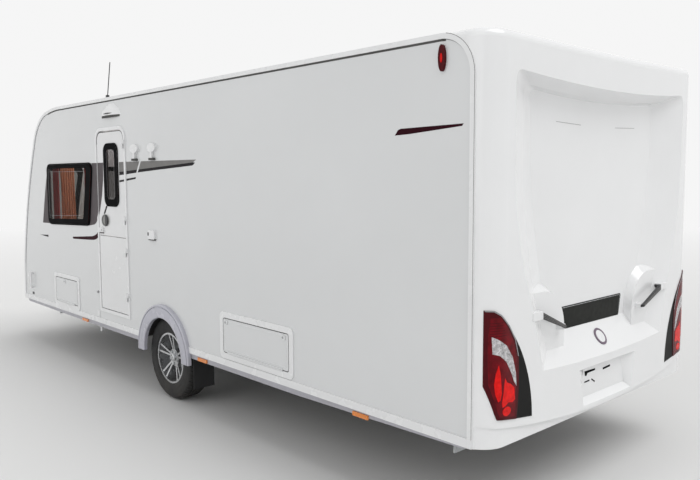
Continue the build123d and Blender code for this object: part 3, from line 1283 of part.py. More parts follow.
# Offside services: two louvred fridge vents, a water filler and a mains inlet
VENT_Y = (FRONT_Y + 1900, FRONT_Y + 2330)
VENT_Z = ((600, 750), (1060, 1210))
SLOT = 9
SLOT_STEP = 22
VENT_THICK = 12
low, high = side_x(-1, SHEET_X, SHEET_X + VENT_THICK)
for z0, z1 in VENT_Z:
    vent = across(rounded(*VENT_Y, z0, z1, 10), low, high)
    slot_z = z0 + SLOT_STEP
    while slot_z < z1 - SLOT_STEP:
        vent -= block(low - 1, high - 4, VENT_Y[0] + 20, VENT_Y[1] - 20, slot_z, slot_z + SLOT)
        slot_z += SLOT_STEP
    fittings.append(vent)
# Columns: y centre, z centre, half size
INLETS = [(AXLE_Y + 560, 620, 60), (AXLE_Y + 560, 800, 75)]
for y, z, half in INLETS:
    fittings.append(across(rounded(y - half, y + half, z - half, z + half, 14), low + 2, high))
parts["wall_fittings"] = one(fittings)

HIGH_MARKER = (REAR_RAIL_Y - 190, ROOF_EDGE - 114)
marker_face = Pos(*HIGH_MARKER) * Ellipse(20, 62)
red_lamps += both_sides(across(marker_face, SHEET_X, SHEET_X + 16))
parts["rear_lamps"] = one(red_lamps)

AERIAL = (HALF - 190, FRONT_Y + 1780)
AERIAL_RISE = 340
AERIAL_LEAN = 70
aerial_foot = ROOF_EDGE + 4
aerial = rod((*AERIAL, aerial_foot), (*AERIAL, aerial_foot + 60), 16) - parts["roof"]
aerial += rod((*AERIAL, aerial_foot + 50), (AERIAL[0], AERIAL[1] + AERIAL_LEAN, aerial_foot + AERIAL_RISE), 4)
parts["aerial"] = largest(aerial)

FLAP_X = (WHEEL_OUTER_X - 180, WHEEL_OUTER_X - 6)
FLAP_Y = AXLE_Y + TYRE_R + 32
parts["mudflaps"] = one(both_sides(block(*FLAP_X, FLAP_Y, FLAP_Y + 6, 150, SIDE_BOTTOM)))

os.makedirs("parts", exist_ok=True)
for name, shape in parts.items():
    export_step(shape, "parts/" + name + ".step")
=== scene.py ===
import bpy
import bmesh
import math
import random
from mathutils import Matrix, Vector
from mathutils.bvhtree import BVHTree


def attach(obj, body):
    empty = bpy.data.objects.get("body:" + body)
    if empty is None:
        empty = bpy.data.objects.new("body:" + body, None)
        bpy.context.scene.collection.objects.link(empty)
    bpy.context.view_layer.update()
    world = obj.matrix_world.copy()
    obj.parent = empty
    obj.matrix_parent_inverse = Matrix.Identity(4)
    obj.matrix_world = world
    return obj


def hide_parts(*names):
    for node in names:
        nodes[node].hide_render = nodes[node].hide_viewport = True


# Travel caravan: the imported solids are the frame, and this script gives them their finish and small parts.
# All sizes are in metres. +X is the nearside, +Y the rear, and the ground is at z = 0.
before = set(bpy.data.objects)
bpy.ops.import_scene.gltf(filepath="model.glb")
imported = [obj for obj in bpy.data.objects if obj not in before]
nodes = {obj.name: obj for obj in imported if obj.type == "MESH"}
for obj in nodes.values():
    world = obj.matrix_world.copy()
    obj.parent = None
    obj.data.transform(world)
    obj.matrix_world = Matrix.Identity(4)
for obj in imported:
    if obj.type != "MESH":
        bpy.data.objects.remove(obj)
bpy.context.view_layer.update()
scene = bpy.context.scene


def link_object(name, data):
    """A new object in the scene."""
    item = bpy.data.objects.new(name, data)
    scene.collection.objects.link(item)
    return item


# Camera at the photograph's viewing angle
CAMERA_PLACE = Vector((3.728, 5.590, 1.718))
CAMERA_YAW = 227.297
CAMERA_PITCH = -5.098
CAMERA_ROLL = -0.277
CAMERA_LENS = 37.10

yaw = math.radians(CAMERA_YAW)
pitch = math.radians(CAMERA_PITCH)
roll = math.radians(CAMERA_ROLL)
forward = Vector((math.cos(pitch) * math.cos(yaw), math.cos(pitch) * math.sin(yaw), math.sin(pitch)))
level = Vector((math.sin(yaw), -math.cos(yaw), 0.0))
upright = level.cross(forward)
right = math.cos(roll) * level + math.sin(roll) * upright
up = -math.sin(roll) * level + math.cos(roll) * upright
camera_data = bpy.data.cameras.new("camera")
camera_data.lens = CAMERA_LENS
camera_data.sensor_width = 36.0
camera_data.clip_end = 200.0
camera = link_object("camera", camera_data)
turn = Matrix((right, up, -forward)).transposed().to_4x4()
camera.matrix_world = Matrix.Translation(CAMERA_PLACE) @ turn
scene.camera = camera


# Materials
materials = {}


def fill(tree, node, inputs):
    """Fill a node's inputs: a socket is linked, and a value is written."""
    for key, value in inputs.items():
        if isinstance(value, bpy.types.NodeSocket):
            tree.links.new(value, node.inputs[key])
        else:
            node.inputs[key].default_value = value


def add_node(tree, kind, inputs):
    node = tree.nodes.new("ShaderNode" + kind)
    fill(tree, node, inputs)
    return node


def new_material(name):
    material = bpy.data.materials.new(name)
    material.use_nodes = True
    materials[name] = material
    tree = material.node_tree
    return tree, tree.nodes["Principled BSDF"], add_node(tree, "TexCoord", {}).outputs["Object"]


def add_noise(tree, coords, scale, detail=3.0, rough=0.5):
    inputs = {"Scale": scale, "Detail": detail, "Roughness": rough, "Vector": coords}
    return add_node(tree, "TexNoise", inputs).outputs["Fac"]


def ramp(tree, value, low, high, start=0.3, end=0.7):
    """A colour that runs from low to high while the value runs from start to end."""
    node = add_node(tree, "ValToRGB", {"Fac": value})
    for element, position, color in zip(node.color_ramp.elements, (start, end), (low, high)):
        element.position = position
        element.color = (*color, 1.0)
    return node.outputs["Color"]


def spread(tree, value, low, high, start=0.3, end=0.7):
    inputs = {"From Min": start, "From Max": end, "To Min": low, "To Max": high, "Value": value}
    return add_node(tree, "MapRange", inputs).outputs["Result"]


def bump(tree, shader, height, strength, distance=0.0006):
    node = add_node(tree, "Bump", {"Strength": strength, "Distance": distance, "Height": height})
    normal = shader.inputs["Normal"]
    if normal.is_linked:
        tree.links.new(normal.links[0].from_socket, node.inputs["Normal"])
    tree.links.new(node.outputs["Normal"], normal)


def shaded(color, share):
    return tuple(max(0.0, min(1.0, channel * (1 + share))) for channel in color)


def mix_color(tree, factor, first, second):
    node = add_node(tree, "Mix", {})
    node.data_type = "RGBA"
    colors = [(*source, 1.0) if isinstance(source, tuple) else source for source in (first, second)]
    fill(tree, node, {"Factor": factor, 6: colors[0], 7: colors[1]})
    return node.outputs[2]


def combine(tree, operation, first, second):
    node = add_node(tree, "Math", {0: first, 1: second})
    node.operation = operation
    return node.outputs[0]


def grime(tree, coords, base, top, bottom, color, strength):
    """Road dirt that thickens downwards from height top to height bottom, broken up by noise."""
    parts = add_node(tree, "SeparateXYZ", {"Vector": coords})
    height = spread(tree, parts.outputs["Z"], strength, 0.0, bottom, top)
    broken = spread(tree, add_noise(tree, coords, 9.0, 5.0, 0.65), 0.1, 1.0, 0.35, 0.75)
    return mix_color(tree, combine(tree, "MULTIPLY", height, broken), base, color)


def finish(
    name, color, roughness, metallic=0.0, coat=0.0, specular=0.5, vary=0.04, vary_scale=3.0, rough_vary=0.06,
    grain=0.0, grain_scale=300.0, wave=0.0, dirt=0.0, dirt_top=0.7, dirt_bottom=0.3,
    dirt_color=(0.16, 0.13, 0.10),
):
    tree, shader, coords = new_material(name)
    base = ramp(tree, add_noise(tree, coords, vary_scale, 4.0), shaded(color, -vary), shaded(color, vary))
    if dirt > 0:
        base = grime(tree, coords, base, dirt_top, dirt_bottom, dirt_color, dirt)
    patches = add_noise(tree, coords, vary_scale * 2.3, 5.0)
    fill(tree, shader, {
        "Base Color": base,
        "Roughness": spread(tree, patches, max(0.02, roughness - rough_vary), roughness + rough_vary),
        "Metallic": metallic,
        "Coat Weight": coat,
        "Coat Roughness": 0.04,
        "Specular IOR Level": specular,
    })
    if wave > 0:
        bump(tree, shader, add_noise(tree, coords, 2.2, 2.0), wave, 0.004)
    if grain > 0:
        bump(tree, shader, add_noise(tree, coords, grain_scale), grain)


def glass(name, tint, clear):
    """Tinted acrylic that lets the lamps through to what stands behind it."""
    tree, shader, coords = new_material(name)
    smear = add_noise(tree, coords, 4.0, 4.0)
    fill(tree, shader, {
        "Base Color": ramp(tree, smear, shaded(tint, -0.06), shaded(tint, 0.06)),
        "Roughness": spread(tree, smear, 0.01, 0.05),
        "IOR": 1.05,
        "Transmission Weight": 1.0,
        "Coat Roughness": 0.01,
    })
    through = add_node(tree, "BsdfTransparent", {"Color": (*clear, 1.0)})
    path = add_node(tree, "LightPath", {})
    shaders = {0: path.outputs["Is Shadow Ray"], 1: shader.outputs[0], 2: through.outputs[0]}
    fill(tree, tree.nodes["Material Output"], {"Surface": add_node(tree, "MixShader", shaders).outputs[0]})


def cloth(name, warp, weft):
    """Woven cloth: two crossed wave textures give the threads."""
    tree, shader, coords = new_material(name)
    threads = []
    for direction in ("X", "Z"):
        wave = add_node(tree, "TexWave", {"Scale": 150.0, "Distortion": 0.6, "Vector": coords})
        wave.bands_direction = direction
        threads.append(wave.outputs["Fac"])
    weave = combine(tree, "MULTIPLY", *threads)
    tone = add_noise(tree, coords, 6.0, 4.0)
    faded = spread(tree, tone, 0.0, 0.25)
    fill(tree, shader, {
        "Base Color": mix_color(tree, faded, mix_color(tree, weave, warp, weft), shaded(weft, -0.4)),
        "Roughness": spread(tree, tone, 0.8, 0.95),
        "Sheen Weight": 0.3,
    })
    bump(tree, shader, weave, 0.35)


def wood(name, light, dark):
    tree, shader, coords = new_material(name)
    mapping = add_node(tree, "Mapping", {"Scale": (1.0, 6.0, 0.6), "Vector": coords})
    inputs = {"Scale": 2.2, "Distortion": 7.0, "Detail": 4.0, "Vector": mapping.outputs["Vector"]}
    grain = add_node(tree, "TexWave", inputs).outputs["Fac"]
    fill(tree, shader, {
        "Base Color": ramp(tree, grain, dark, light, 0.2, 0.8), "Roughness": spread(tree, grain, 0.35, 0.55)
    })
    bump(tree, shader, grain, 0.15)


finish("moulding", (0.82, 0.825, 0.83), 0.16, coat=0.5, vary=0.012, wave=0.12, rough_vary=0.03)
finish("sheet", (0.69, 0.70, 0.705), 0.14, coat=0.5, vary=0.015, vary_scale=1.2, wave=0.10, rough_vary=0.03)
finish("trim", (0.80, 0.805, 0.81), 0.26, coat=0.2, vary=0.02)
finish("door_skin", (0.76, 0.765, 0.77), 0.22, coat=0.3, vary=0.015, grain=0.10, grain_scale=420)
finish("skirt", (0.42, 0.42, 0.46), 0.34, vary=0.05, dirt=0.35, dirt_top=0.47, dirt_bottom=0.36)
finish("spat", (0.47, 0.47, 0.53), 0.26, coat=0.35, vary=0.03, dirt=0.18, dirt_top=0.6, dirt_bottom=0.34)
finish("black_seal", (0.006, 0.006, 0.0065), 0.65, vary=0.2, specular=0.02)
finish("shadow_seam", (0.10, 0.098, 0.095), 0.8, vary=0.1, specular=0.1)
# Mid grey for thin lines, knobs and studs, and for the painted shade lines along the rails' inner edges
finish("grey_and_shade", (0.30, 0.30, 0.31), 0.6, vary=0.08)
finish("black_plastic", (0.022, 0.022, 0.024), 0.48, vary=0.15, grain=0.25, grain_scale=700)
finish(
    "galvanised", (0.50, 0.52, 0.53), 0.45, metallic=0.85, vary=0.14, vary_scale=24, dirt=0.5, dirt_top=0.5,
    dirt_bottom=0.1, grain=0.2, grain_scale=160,
)
finish("black_steel", (0.02, 0.02, 0.021), 0.4, metallic=0.3, vary=0.2, grain=0.2)
finish(
    "alloy", (0.58, 0.59, 0.60), 0.3, metallic=0.9, coat=0.3, vary_scale=14, dirt=0.3, dirt_top=0.6,
    dirt_bottom=0.1,
)
finish(
    "tyre", (0.012, 0.012, 0.0125), 0.72, vary=0.25, vary_scale=8, grain=0.3, grain_scale=500, dirt=0.4,
    dirt_top=0.35, dirt_bottom=0.0, dirt_color=(0.09, 0.08, 0.065),
)
finish("rubber", (0.02, 0.02, 0.021), 0.7, vary=0.2, grain=0.3)
finish("dark_box", (0.03, 0.03, 0.032), 0.75, vary=0.2, dirt=0.4)
finish("floor_ply", (0.05, 0.045, 0.04), 0.8, vary=0.2, vary_scale=5, dirt=0.3)
finish("amber", (0.75, 0.22, 0.02), 0.15, coat=0.8, vary=0.06, vary_scale=30)
finish("lens_dark", (0.070, 0.001, 0.004), 0.2, vary=0.2, vary_scale=20, specular=0.15)
finish(
    "lens_red", (0.13, 0.001, 0.005), 0.2, specular=0.15, vary=0.35, vary_scale=26, grain=0.3,
    grain_scale=260,
)
finish(
    "lens_bright", (0.72, 0.006, 0.005), 0.2, specular=0.15, vary=0.2, vary_scale=40, grain=0.3,
    grain_scale=260,
)
finish("silver", (0.48, 0.47, 0.48), 0.3, metallic=0.5, vary=0.45, vary_scale=55, grain=0.4, grain_scale=240)
finish("bright_trim", (0.50, 0.51, 0.52), 0.25, metallic=0.6, vary=0.06, vary_scale=25)
finish("infill", (0.010, 0.010, 0.0095), 0.5, vary=0.1, specular=0.1)
finish("plaque", (0.011, 0.012, 0.010), 0.45, vary=0.15, vary_scale=14, specular=0.12)
finish("graphic_grey", (0.100, 0.088, 0.092), 0.55, vary=0.08, vary_scale=12, specular=0.12)
finish("graphic_light", (0.20, 0.195, 0.19), 0.55, vary=0.06, vary_scale=12, specular=0.2)
finish("graphic_dark", (0.016, 0.014, 0.016), 0.5, vary=0.08, vary_scale=12, specular=0.08)
finish("graphic_maroon", (0.026, 0.002, 0.006), 0.5, vary=0.1, vary_scale=10, specular=0.06)
finish("ring_grey", (0.16, 0.12, 0.16), 0.35, vary=0.1, specular=0.3)
finish("cup_grey", (0.24, 0.24, 0.235), 0.4, vary=0.05)
finish("dome", (0.34, 0.35, 0.36), 0.14, coat=0.4, vary=0.05, wave=0.1)
glass("door_pane", (0.20, 0.19, 0.19), (0.85, 0.84, 0.83))
glass("window", (0.37, 0.37, 0.36), (0.92, 0.91, 0.90))
wood("wood", (0.36, 0.22, 0.12), (0.22, 0.12, 0.06))
cloth("upholstery", (0.30, 0.22, 0.16), (0.42, 0.33, 0.26))
cloth("bedding", (0.55, 0.52, 0.47), (0.66, 0.63, 0.58))
cloth("curtain_red", (0.40, 0.018, 0.016), (0.52, 0.04, 0.03))
# The front drapes' cloth, coloured as if lit through from behind: painted light
cloth("curtain_painted_backlight", (0.62, 0.22, 0.10), (0.74, 0.30, 0.15))

NODE_MATERIALS = {
    "moulding": "front_moulding locker_lid rear_moulding roof",
    "sheet": "hatch_large hatch_small wall_nearside wall_offside",
    "trim": "door_frame opening_frames side_rails wall_fittings",
    "door_skin": "door_lower door_upper hatch_cassette",
    "skirt": "side_skirts",
    "spat": "arch_spats",
    "black_plastic": "aerial grab_handles",
    "galvanised": "axle chassis_rails cross_members drawbar_nearside drawbar_offside jockey_clamp jockey_fork"
    " jockey_leg steady_brackets steady_front_nearside steady_front_offside steady_rear_nearside"
    " steady_rear_offside",
    "black_steel": "coupling_head overrun",
    "alloy": "wheel_nearside wheel_offside",
    "rubber": "jockey_wheel mudflaps",
    "dark_box": "service_units wheel_boxes",
    "floor_ply": "floor",
    "amber": "side_markers",
    "lens_dark": "rear_lamps",
    "infill": "tail_lamp_infills",
    "cup_grey": "door_handle",
    "dome": "rooflight_domes",
    "door_pane": "glass_door",
    "window": "windows",
    "wood": "furniture",
}
for material_name, node_names in NODE_MATERIALS.items():
    for node_name in node_names.split():
        slots = nodes[node_name].data.materials
        slots.clear()
        slots.append(materials[material_name])


# Geometry helpers
SIDES = ((1, "nearside"), (-1, "offside"))


def smooth_by_angle(piece, degrees=35):
    piece.data.shade_smooth()
    piece.data.set_sharp_from_angle(angle=math.radians(degrees))
    return piece


def add_object(name, mesh, material, body, smooth):
    mesh.update()
    piece = link_object(name, mesh)
    mesh.materials.clear()
    mesh.materials.append(materials[material])
    if smooth:
        mesh.shade_smooth()
    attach(piece, body)
    return piece


def to_mesh(name, work):
    mesh = bpy.data.meshes.new(name)
    work.to_mesh(mesh)
    work.free()
    return mesh


def from_bmesh(name, work, material, body="caravan", smooth=False, bevel=0.0):
    """A piece from the faces in work, with its sharp edges rounded where a bevel is given."""
    bmesh.ops.recalc_face_normals(work, faces=work.faces)
    piece = add_object(name, to_mesh(name, work), material, body, smooth)
    if bevel > 0:
        modifier = piece.modifiers.new("bevel", "BEVEL")
        modifier.width = bevel
        modifier.segments = 2
        modifier.limit_method = "ANGLE"
        smooth_by_angle(piece)
    return piece


def skin(work, rows, closed=True):
    """Faces between each row of vertices and the next; closed joins a row's last vertex to its first."""
    count = len(rows[0])
    for here, there in zip(rows, rows[1:]):
        for index in range(count if closed else count - 1):
            following = (index + 1) % count
            work.faces.new((here[index], here[following], there[following], there[index]))


def corner_arcs(points, radius, steps):
    """A closed outline with each corner rounded."""
    result = []
    count = len(points)
    for index in range(count):
        here = Vector(points[index])
        to_before = (Vector(points[index - 1]) - here).normalized()
        to_after = (Vector(points[(index + 1) % count]) - here).normalized()
        half = to_before.angle(to_after) / 2
        size = radius[index] if isinstance(radius, list) else radius
        if size <= 0:
            result += [tuple(here)] * (steps + 1)
            continue
        run = size / math.tan(half)
        center = here + (to_before + to_after).normalized() * (size / math.sin(half))
        start = here + to_before * run - center
        sweep = start.angle_signed(here + to_after * run - center)
        for step in range(steps + 1):
            result.append(tuple(center + Matrix.Rotation(-sweep * step / steps, 2) @ start))
    return result


def rectangle(u0, u1, v0, v1, inset=0.0):
    u0, u1, v0, v1 = u0 + inset, u1 - inset, v0 + inset, v1 - inset
    return [(u0, v0), (u1, v0), (u1, v1), (u0, v1)]


def rounded(u0, u1, v0, v1, radius, steps, inset=0.0):
    return corner_arcs(rectangle(u0, u1, v0, v1, inset), radius, steps)


def onto_side(side, x):
    """A map from (y, z) to a plane on one side of the body."""
    return lambda point: Vector((side * x, point[0], point[1]))


def onto_rear(y):
    return lambda point: Vector((point[0], y, point[1]))


def plate(name, outline, place, normal, thick, material, body="caravan", bevel=0.0):
    """A closed outline pushed out along a direction."""
    work = bmesh.new()
    low = [work.verts.new(place(point)) for point in outline]
    high = [work.verts.new(place(point) + Vector(normal) * thick) for point in outline]
    work.faces.new(low)
    work.faces.new(high)
    skin(work, [low, high])
    bmesh.ops.remove_doubles(work, verts=work.verts, dist=1e-6)
    from_bmesh(name, work, material, body, bevel=bevel)


def side_plate(name, outline, side, x, thick, material, body="caravan", bevel=0.0):
    """A plate that stands out from the plane at x on one side of the body."""
    plate(name, outline, onto_side(side, x), (side, 0, 0), thick, material, body, bevel)


def band_over(name, outer, inner, surface, low, high, material, body="caravan", bevel=0.0):
    """A band between two outlines with the same number of points, laid over a surface."""
    work = bmesh.new()
    loops = []
    for outline, grow in ((outer, low), (outer, high), (inner, high), (inner, low)):
        loops.append([work.verts.new(surface(u, v, grow)) for u, v in outline])
    skin(work, loops + loops[:1])
    return from_bmesh(name, work, material, body, bevel=bevel)


def side_ring(name, outer, inner, side, x, thick, material, body="caravan", bevel=0.0):
    """A band that stands out from the plane at x on one side of the body."""
    def surface(u, v, grow):
        return Vector((side * x, u, v)) + Vector((side, 0, 0)) * grow

    return band_over(name, outer, inner, surface, 0, thick, material, body, bevel)


def tube(name, points, radius, material, sides, body="caravan", cyclic=False):
    curve = bpy.data.curves.new(name, "CURVE")
    curve.dimensions = "3D"
    curve.bevel_depth = radius
    curve.bevel_resolution = sides
    spline = curve.splines.new("POLY")
    spline.points.add(len(points) - 1)
    for target, point in zip(spline.points, points):
        target.co = (*point, 1.0)
    spline.use_cyclic_u = cyclic
    holder = link_object(name + "_line", curve)
    bpy.context.view_layer.update()
    mesh = bpy.data.meshes.new_from_object(holder)
    bpy.data.objects.remove(holder)
    return add_object(name, mesh, material, body, smooth=True)


def side_bead(name, outline, side, x, radius, material, sides, body="caravan"):
    """A closed round bead along an outline in the plane at x on one side of the body."""
    place = onto_side(side, x)
    tube(name, [place(point) for point in outline], radius, material, sides, body, cyclic=True)


def lathe(name, profile, center, axis, material, body="caravan", count=24):
    """A profile of (along, radius) turned about an axis through the centre."""
    axis = Vector(axis).normalized()
    side = axis.orthogonal().normalized()
    other = axis.cross(side)
    work = bmesh.new()
    rows = []
    for step in range(count):
        angle = 2 * math.pi * step / count
        out = side * math.cos(angle) + other * math.sin(angle)
        places = [Vector(center) + axis * along + out * radius for along, radius in profile]
        rows.append([work.verts.new(place) for place in places])
    skin(work, rows + rows[:1], closed=False)
    bmesh.ops.remove_doubles(work, verts=work.verts, dist=1e-7)
    smooth_by_angle(from_bmesh(name, work, material, body))


def oval(y, z, half_y, half_z, steps, first=0.0, sweep=360.0):
    """Points on an ellipse; a full sweep leaves out the last point, which would repeat the first."""
    points = []
    for step in range(steps if sweep == 360.0 else steps + 1):
        angle = math.radians(first + sweep * step / steps)
        points.append((y + half_y * math.cos(angle), z + half_z * math.sin(angle)))
    return points


# Planes that scene.py shares with the solids: the wall sheet, the rail, the door's leaf and the panes
SHEET = 1.082
RAIL_FACE = 1.090
LEAF_FACE = 1.086
PANE_FACE = 1.096
TOP_LEAF = "door_top_leaf"

# Thin layers: how far a stripe or line stands out, and how deep its foot sits in a curved surface
DECAL_THICK = 0.0006
SUNK = 0.001


# Shapes laid on curved or stepped surfaces
def cut_flat(outline, step):
    """A closed outline as flat triangles, cut into strips along its first axis."""
    flat = bmesh.new()
    corners = []
    for point in outline:
        if not corners or (Vector(point) - Vector(corners[-1])).length > 1e-6:
            corners.append(point)
    if (Vector(corners[0]) - Vector(corners[-1])).length < 1e-6:
        corners.pop()
    flat.faces.new([flat.verts.new((u, 0.0, v)) for u, v in corners])
    low = min(u for u, v in corners)
    high = max(u for u, v in corners)
    for index in range(1, int((high - low) / step) + 1):
        geometry = flat.verts[:] + flat.edges[:] + flat.faces[:]
        bmesh.ops.bisect_plane(flat, geom=geometry, plane_co=(low + index * step, 0, 0), plane_no=(1, 0, 0))
    bmesh.ops.triangulate(flat, faces=flat.faces[:])
    flat.verts.index_update()
    return flat


def draped(name, outline, surface, low, high, material, step=0.012, dome=0.0):
    """A thin layer over a curved surface; surface(u, v, grow) gives the place of a point on it."""
    flat = cut_flat(outline, step)
    rim = {vertex.index for edge in flat.edges if len(edge.link_faces) == 1 for vertex in edge.verts}
    work = bmesh.new()
    bottoms = [work.verts.new(surface(vertex.co.x, vertex.co.z, low)) for vertex in flat.verts]
    tops = [
        work.verts.new(surface(vertex.co.x, vertex.co.z, high + (0.0 if vertex.index in rim else dome)))
        for vertex in flat.verts
    ]
    for face in flat.faces:
        order = [vertex.index for vertex in face.verts]
        work.faces.new([tops[index] for index in order])
        work.faces.new([bottoms[index] for index in reversed(order)])
    for edge in flat.edges:
        if len(edge.link_faces) == 1:
            a, b = (vertex.index for vertex in edge.verts)
            work.faces.new((bottoms[a], bottoms[b], tops[b], tops[a]))
    flat.free()
    smooth_by_angle(from_bmesh(name, work, material))


def cast_surface(node_names, start, way):
    """surface(x, z, grow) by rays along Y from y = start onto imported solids."""
    graph = bpy.context.evaluated_depsgraph_get()
    trees = []
    for node_name in node_names:
        node = nodes[node_name]
        shape = bmesh.new()
        shape.from_object(node, graph)
        shape.transform(node.matrix_world)
        trees.append(BVHTree.FromBMesh(shape))
        shape.free()
    towards = Vector((0, way, 0))

    def surface(x, z, grow):
        origin = Vector((x, start, z))
        best = None
        for tree in trees:
            place, normal, index, distance = tree.ray_cast(origin, towards)
            if place is not None and (best is None or distance < best[1]):
                best = (place, distance)
        if best is None:
            return origin
        return best[0] - towards * grow

    return surface


def arc_points(first, middle, last, steps):
    """Points on the circle through three points, from the first to the last."""
    (ax, ay), (bx, by), (cx, cy) = first, middle, last
    scale = 2 * (ax * (by - cy) + bx * (cy - ay) + cx * (ay - by))
    a2, b2, c2 = ax * ax + ay * ay, bx * bx + by * by, cx * cx + cy * cy
    center = Vector((
        (a2 * (by - cy) + b2 * (cy - ay) + c2 * (ay - by)) / scale,
        (a2 * (cx - bx) + b2 * (ax - cx) + c2 * (bx - ax)) / scale,
    ))
    arms = [Vector(point) - center for point in (first, middle, last)]
    sweep = arms[0].angle_signed(arms[1]) + arms[1].angle_signed(arms[2])
    return [tuple(center + Matrix.Rotation(-sweep * step / steps, 2) @ arms[0]) for step in range(steps + 1)]


# The side panel's edge, in (y, z): the raked front, the roof edge and the rear corner.
# Columns: y, z, inward y, inward z
FRONT_EDGE = [
    (-2.420, 0.435, 1.00, 0.00),
    (-2.403, 0.815, 0.99, -0.14),
    (-2.168, 1.668, 0.95, -0.31),
    (-2.003, 2.032, 0.87, -0.49),
    (-1.875, 2.222, 0.68, -0.73),
    (-1.617, 2.347, 0.22, -0.97),
    (-1.435, 2.371, 0.09, -1.00),
    (-1.246, 2.376, 0.00, -1.00),
]
REAR_CORNER = (3.360, 2.176, 0.200)
REAR_EDGE_Y = 3.560
RAIL_EDGE = 0.026


def edge_path(inset):
    """The panel's edge drawn in by an inset, from the front foot round to the rear foot."""
    front = [(y + in_y * inset, z + in_z * inset) for y, z, in_y, in_z in FRONT_EDGE]
    path = [front[0]]
    for index in (1, 3, 5):
        path += arc_points(*front[index:index + 3], 12)[0 if index == 1 else 1:]
    y, z, radius = REAR_CORNER
    for step in range(11):
        angle = math.pi / 2 * (1 - step / 10)
        path.append((y + (radius - inset) * math.cos(angle), z + (radius - inset) * math.sin(angle)))
    path.append((REAR_EDGE_Y - inset, 0.480))
    return path


# Strips along the side panel's edge: a painted shadow under the roof rail, painted shade lines along the
# inner edge of the front and rear rail, and a dark joint line where the rail meets the rear corner
# Columns: name, inset from the panel's edge, width, x, thickness, material, first and last place on the path
EDGE_STRIPS = [
    ("gutter_shadow", RAIL_EDGE, 0.0105, SHEET, 0.0008, "shadow_seam", 26, 40),
    ("front_rail_shade", RAIL_EDGE, 0.004, SHEET, 0.0008, "grey_and_shade", 1, 27),
    ("rear_rail_shade", RAIL_EDGE, 0.0035, SHEET, 0.0008, "grey_and_shade", 39, None),
    ("corner_seam", -0.0008, 0.0022, RAIL_FACE, 0.0003, "shadow_seam", 39, None),
]
for side, tag in SIDES:
    for name, inset, width, x, thick, material, first, last in EDGE_STRIPS:
        outer = edge_path(inset)[first:last]
        inner = edge_path(inset + width)[first:last]
        side_plate(f"{name}_{tag}", outer + inner[::-1], side, x, thick, material)

# Stripes on the side walls, in (y, z). Columns: name, material, points
WALL_STRIPES = [
    ("field_front", "graphic_grey", [
        (-1.828, 1.263), (-1.740, 1.563), (-1.640, 1.838), (-1.618, 1.838), (-1.618, 1.266),
    ]),
    ("field_rear", "graphic_grey", [
        (-0.608, 1.838), (-0.511, 1.838), (-0.511, 1.366), (-0.520, 1.352), (-0.538, 1.331), (-0.560, 1.313),
        (-0.590, 1.301), (-0.711, 1.285),
    ]),
    ("swoosh", "graphic_maroon", [
        (-1.089, 1.160), (-1.072, 1.146), (-0.850, 1.153), (-0.635, 1.162), (-0.590, 1.167), (-0.550, 1.178),
        (-0.524, 1.190), (-0.512, 1.201), (-0.511, 1.232), (-0.520, 1.244), (-0.545, 1.224), (-0.575, 1.211),
        (-0.610, 1.201), (-0.649, 1.194), (-0.850, 1.180), (-1.042, 1.167), (-1.080, 1.165),
    ]),
    ("fine_line", "graphic_dark", [(-1.918, 1.137), (-1.700, 1.126), (-1.696, 1.147)]),
    ("band_front", "graphic_light", [(0.061, 1.764), (0.248, 1.773), (0.292, 1.838), (0.061, 1.838)]),
    ("band_front_edge", "graphic_dark", [(0.061, 1.738), (0.236, 1.749), (0.248, 1.773), (0.061, 1.764)]),
    ("band_rear", "graphic_light", [(0.276, 1.775), (1.101, 1.816), (1.145, 1.835), (0.318, 1.838)]),
    ("band_rear_edge", "graphic_dark", [
        (0.259, 1.751), (0.589, 1.769), (1.084, 1.794), (1.101, 1.797), (1.128, 1.814), (1.101, 1.816),
        (0.276, 1.775),
    ]),
    ("short_line", "graphic_dark", [(0.061, 1.685), (0.220, 1.700), (0.226, 1.715), (0.061, 1.701)]),
    ("flash", "graphic_maroon", [
        (3.059, 1.917), (3.153, 1.920), (3.301, 1.930), (3.485, 1.943), (3.494, 1.954), (3.101, 1.949),
        (3.080, 1.943),
    ]),
]
FRAME_STRIPE = [
    (-0.510, 1.366), (-0.496, 1.388), (-0.486, 1.412), (-0.4832, 1.428), (-0.4832, 1.838), (-0.510, 1.838),
]
DOOR_STRIPES = [
    ("field", "graphic_grey", [
        (-0.476, 1.385), (-0.459, 1.420), (-0.404, 1.560), (-0.372, 1.700), (-0.362, 1.838), (-0.476, 1.838),
    ]),
    ("band", "graphic_light", [(-0.060, 1.757), (0.026, 1.761), (0.026, 1.838), (-0.060, 1.838)]),
    ("band_edge", "graphic_dark", [(-0.060, 1.731), (0.026, 1.735), (0.026, 1.761), (-0.060, 1.757)]),
    ("line", "graphic_dark", [(-0.060, 1.673), (0.026, 1.680), (0.026, 1.696), (-0.060, 1.689)]),
    ("slash", "graphic_dark", [(-0.385, 1.402), (-0.355, 1.405), (-0.300, 1.474), (-0.330, 1.474)]),
]
OFFSIDE_STRIPES = ("field_front", "field_rear", "swoosh", "flash")
for name, material, points in WALL_STRIPES:
    side_plate("stripe_" + name, points, 1, SHEET, DECAL_THICK, material)
    if name in OFFSIDE_STRIPES:
        side_plate("stripe_offside_" + name, points, -1, SHEET, DECAL_THICK, material)
side_plate("stripe_frame_field", FRAME_STRIPE, 1, RAIL_FACE, DECAL_THICK, "graphic_grey")
for name, material, points in DOOR_STRIPES:
    side_plate("stripe_leaf_" + name, points, 1, LEAF_FACE, DECAL_THICK, material, TOP_LEAF)

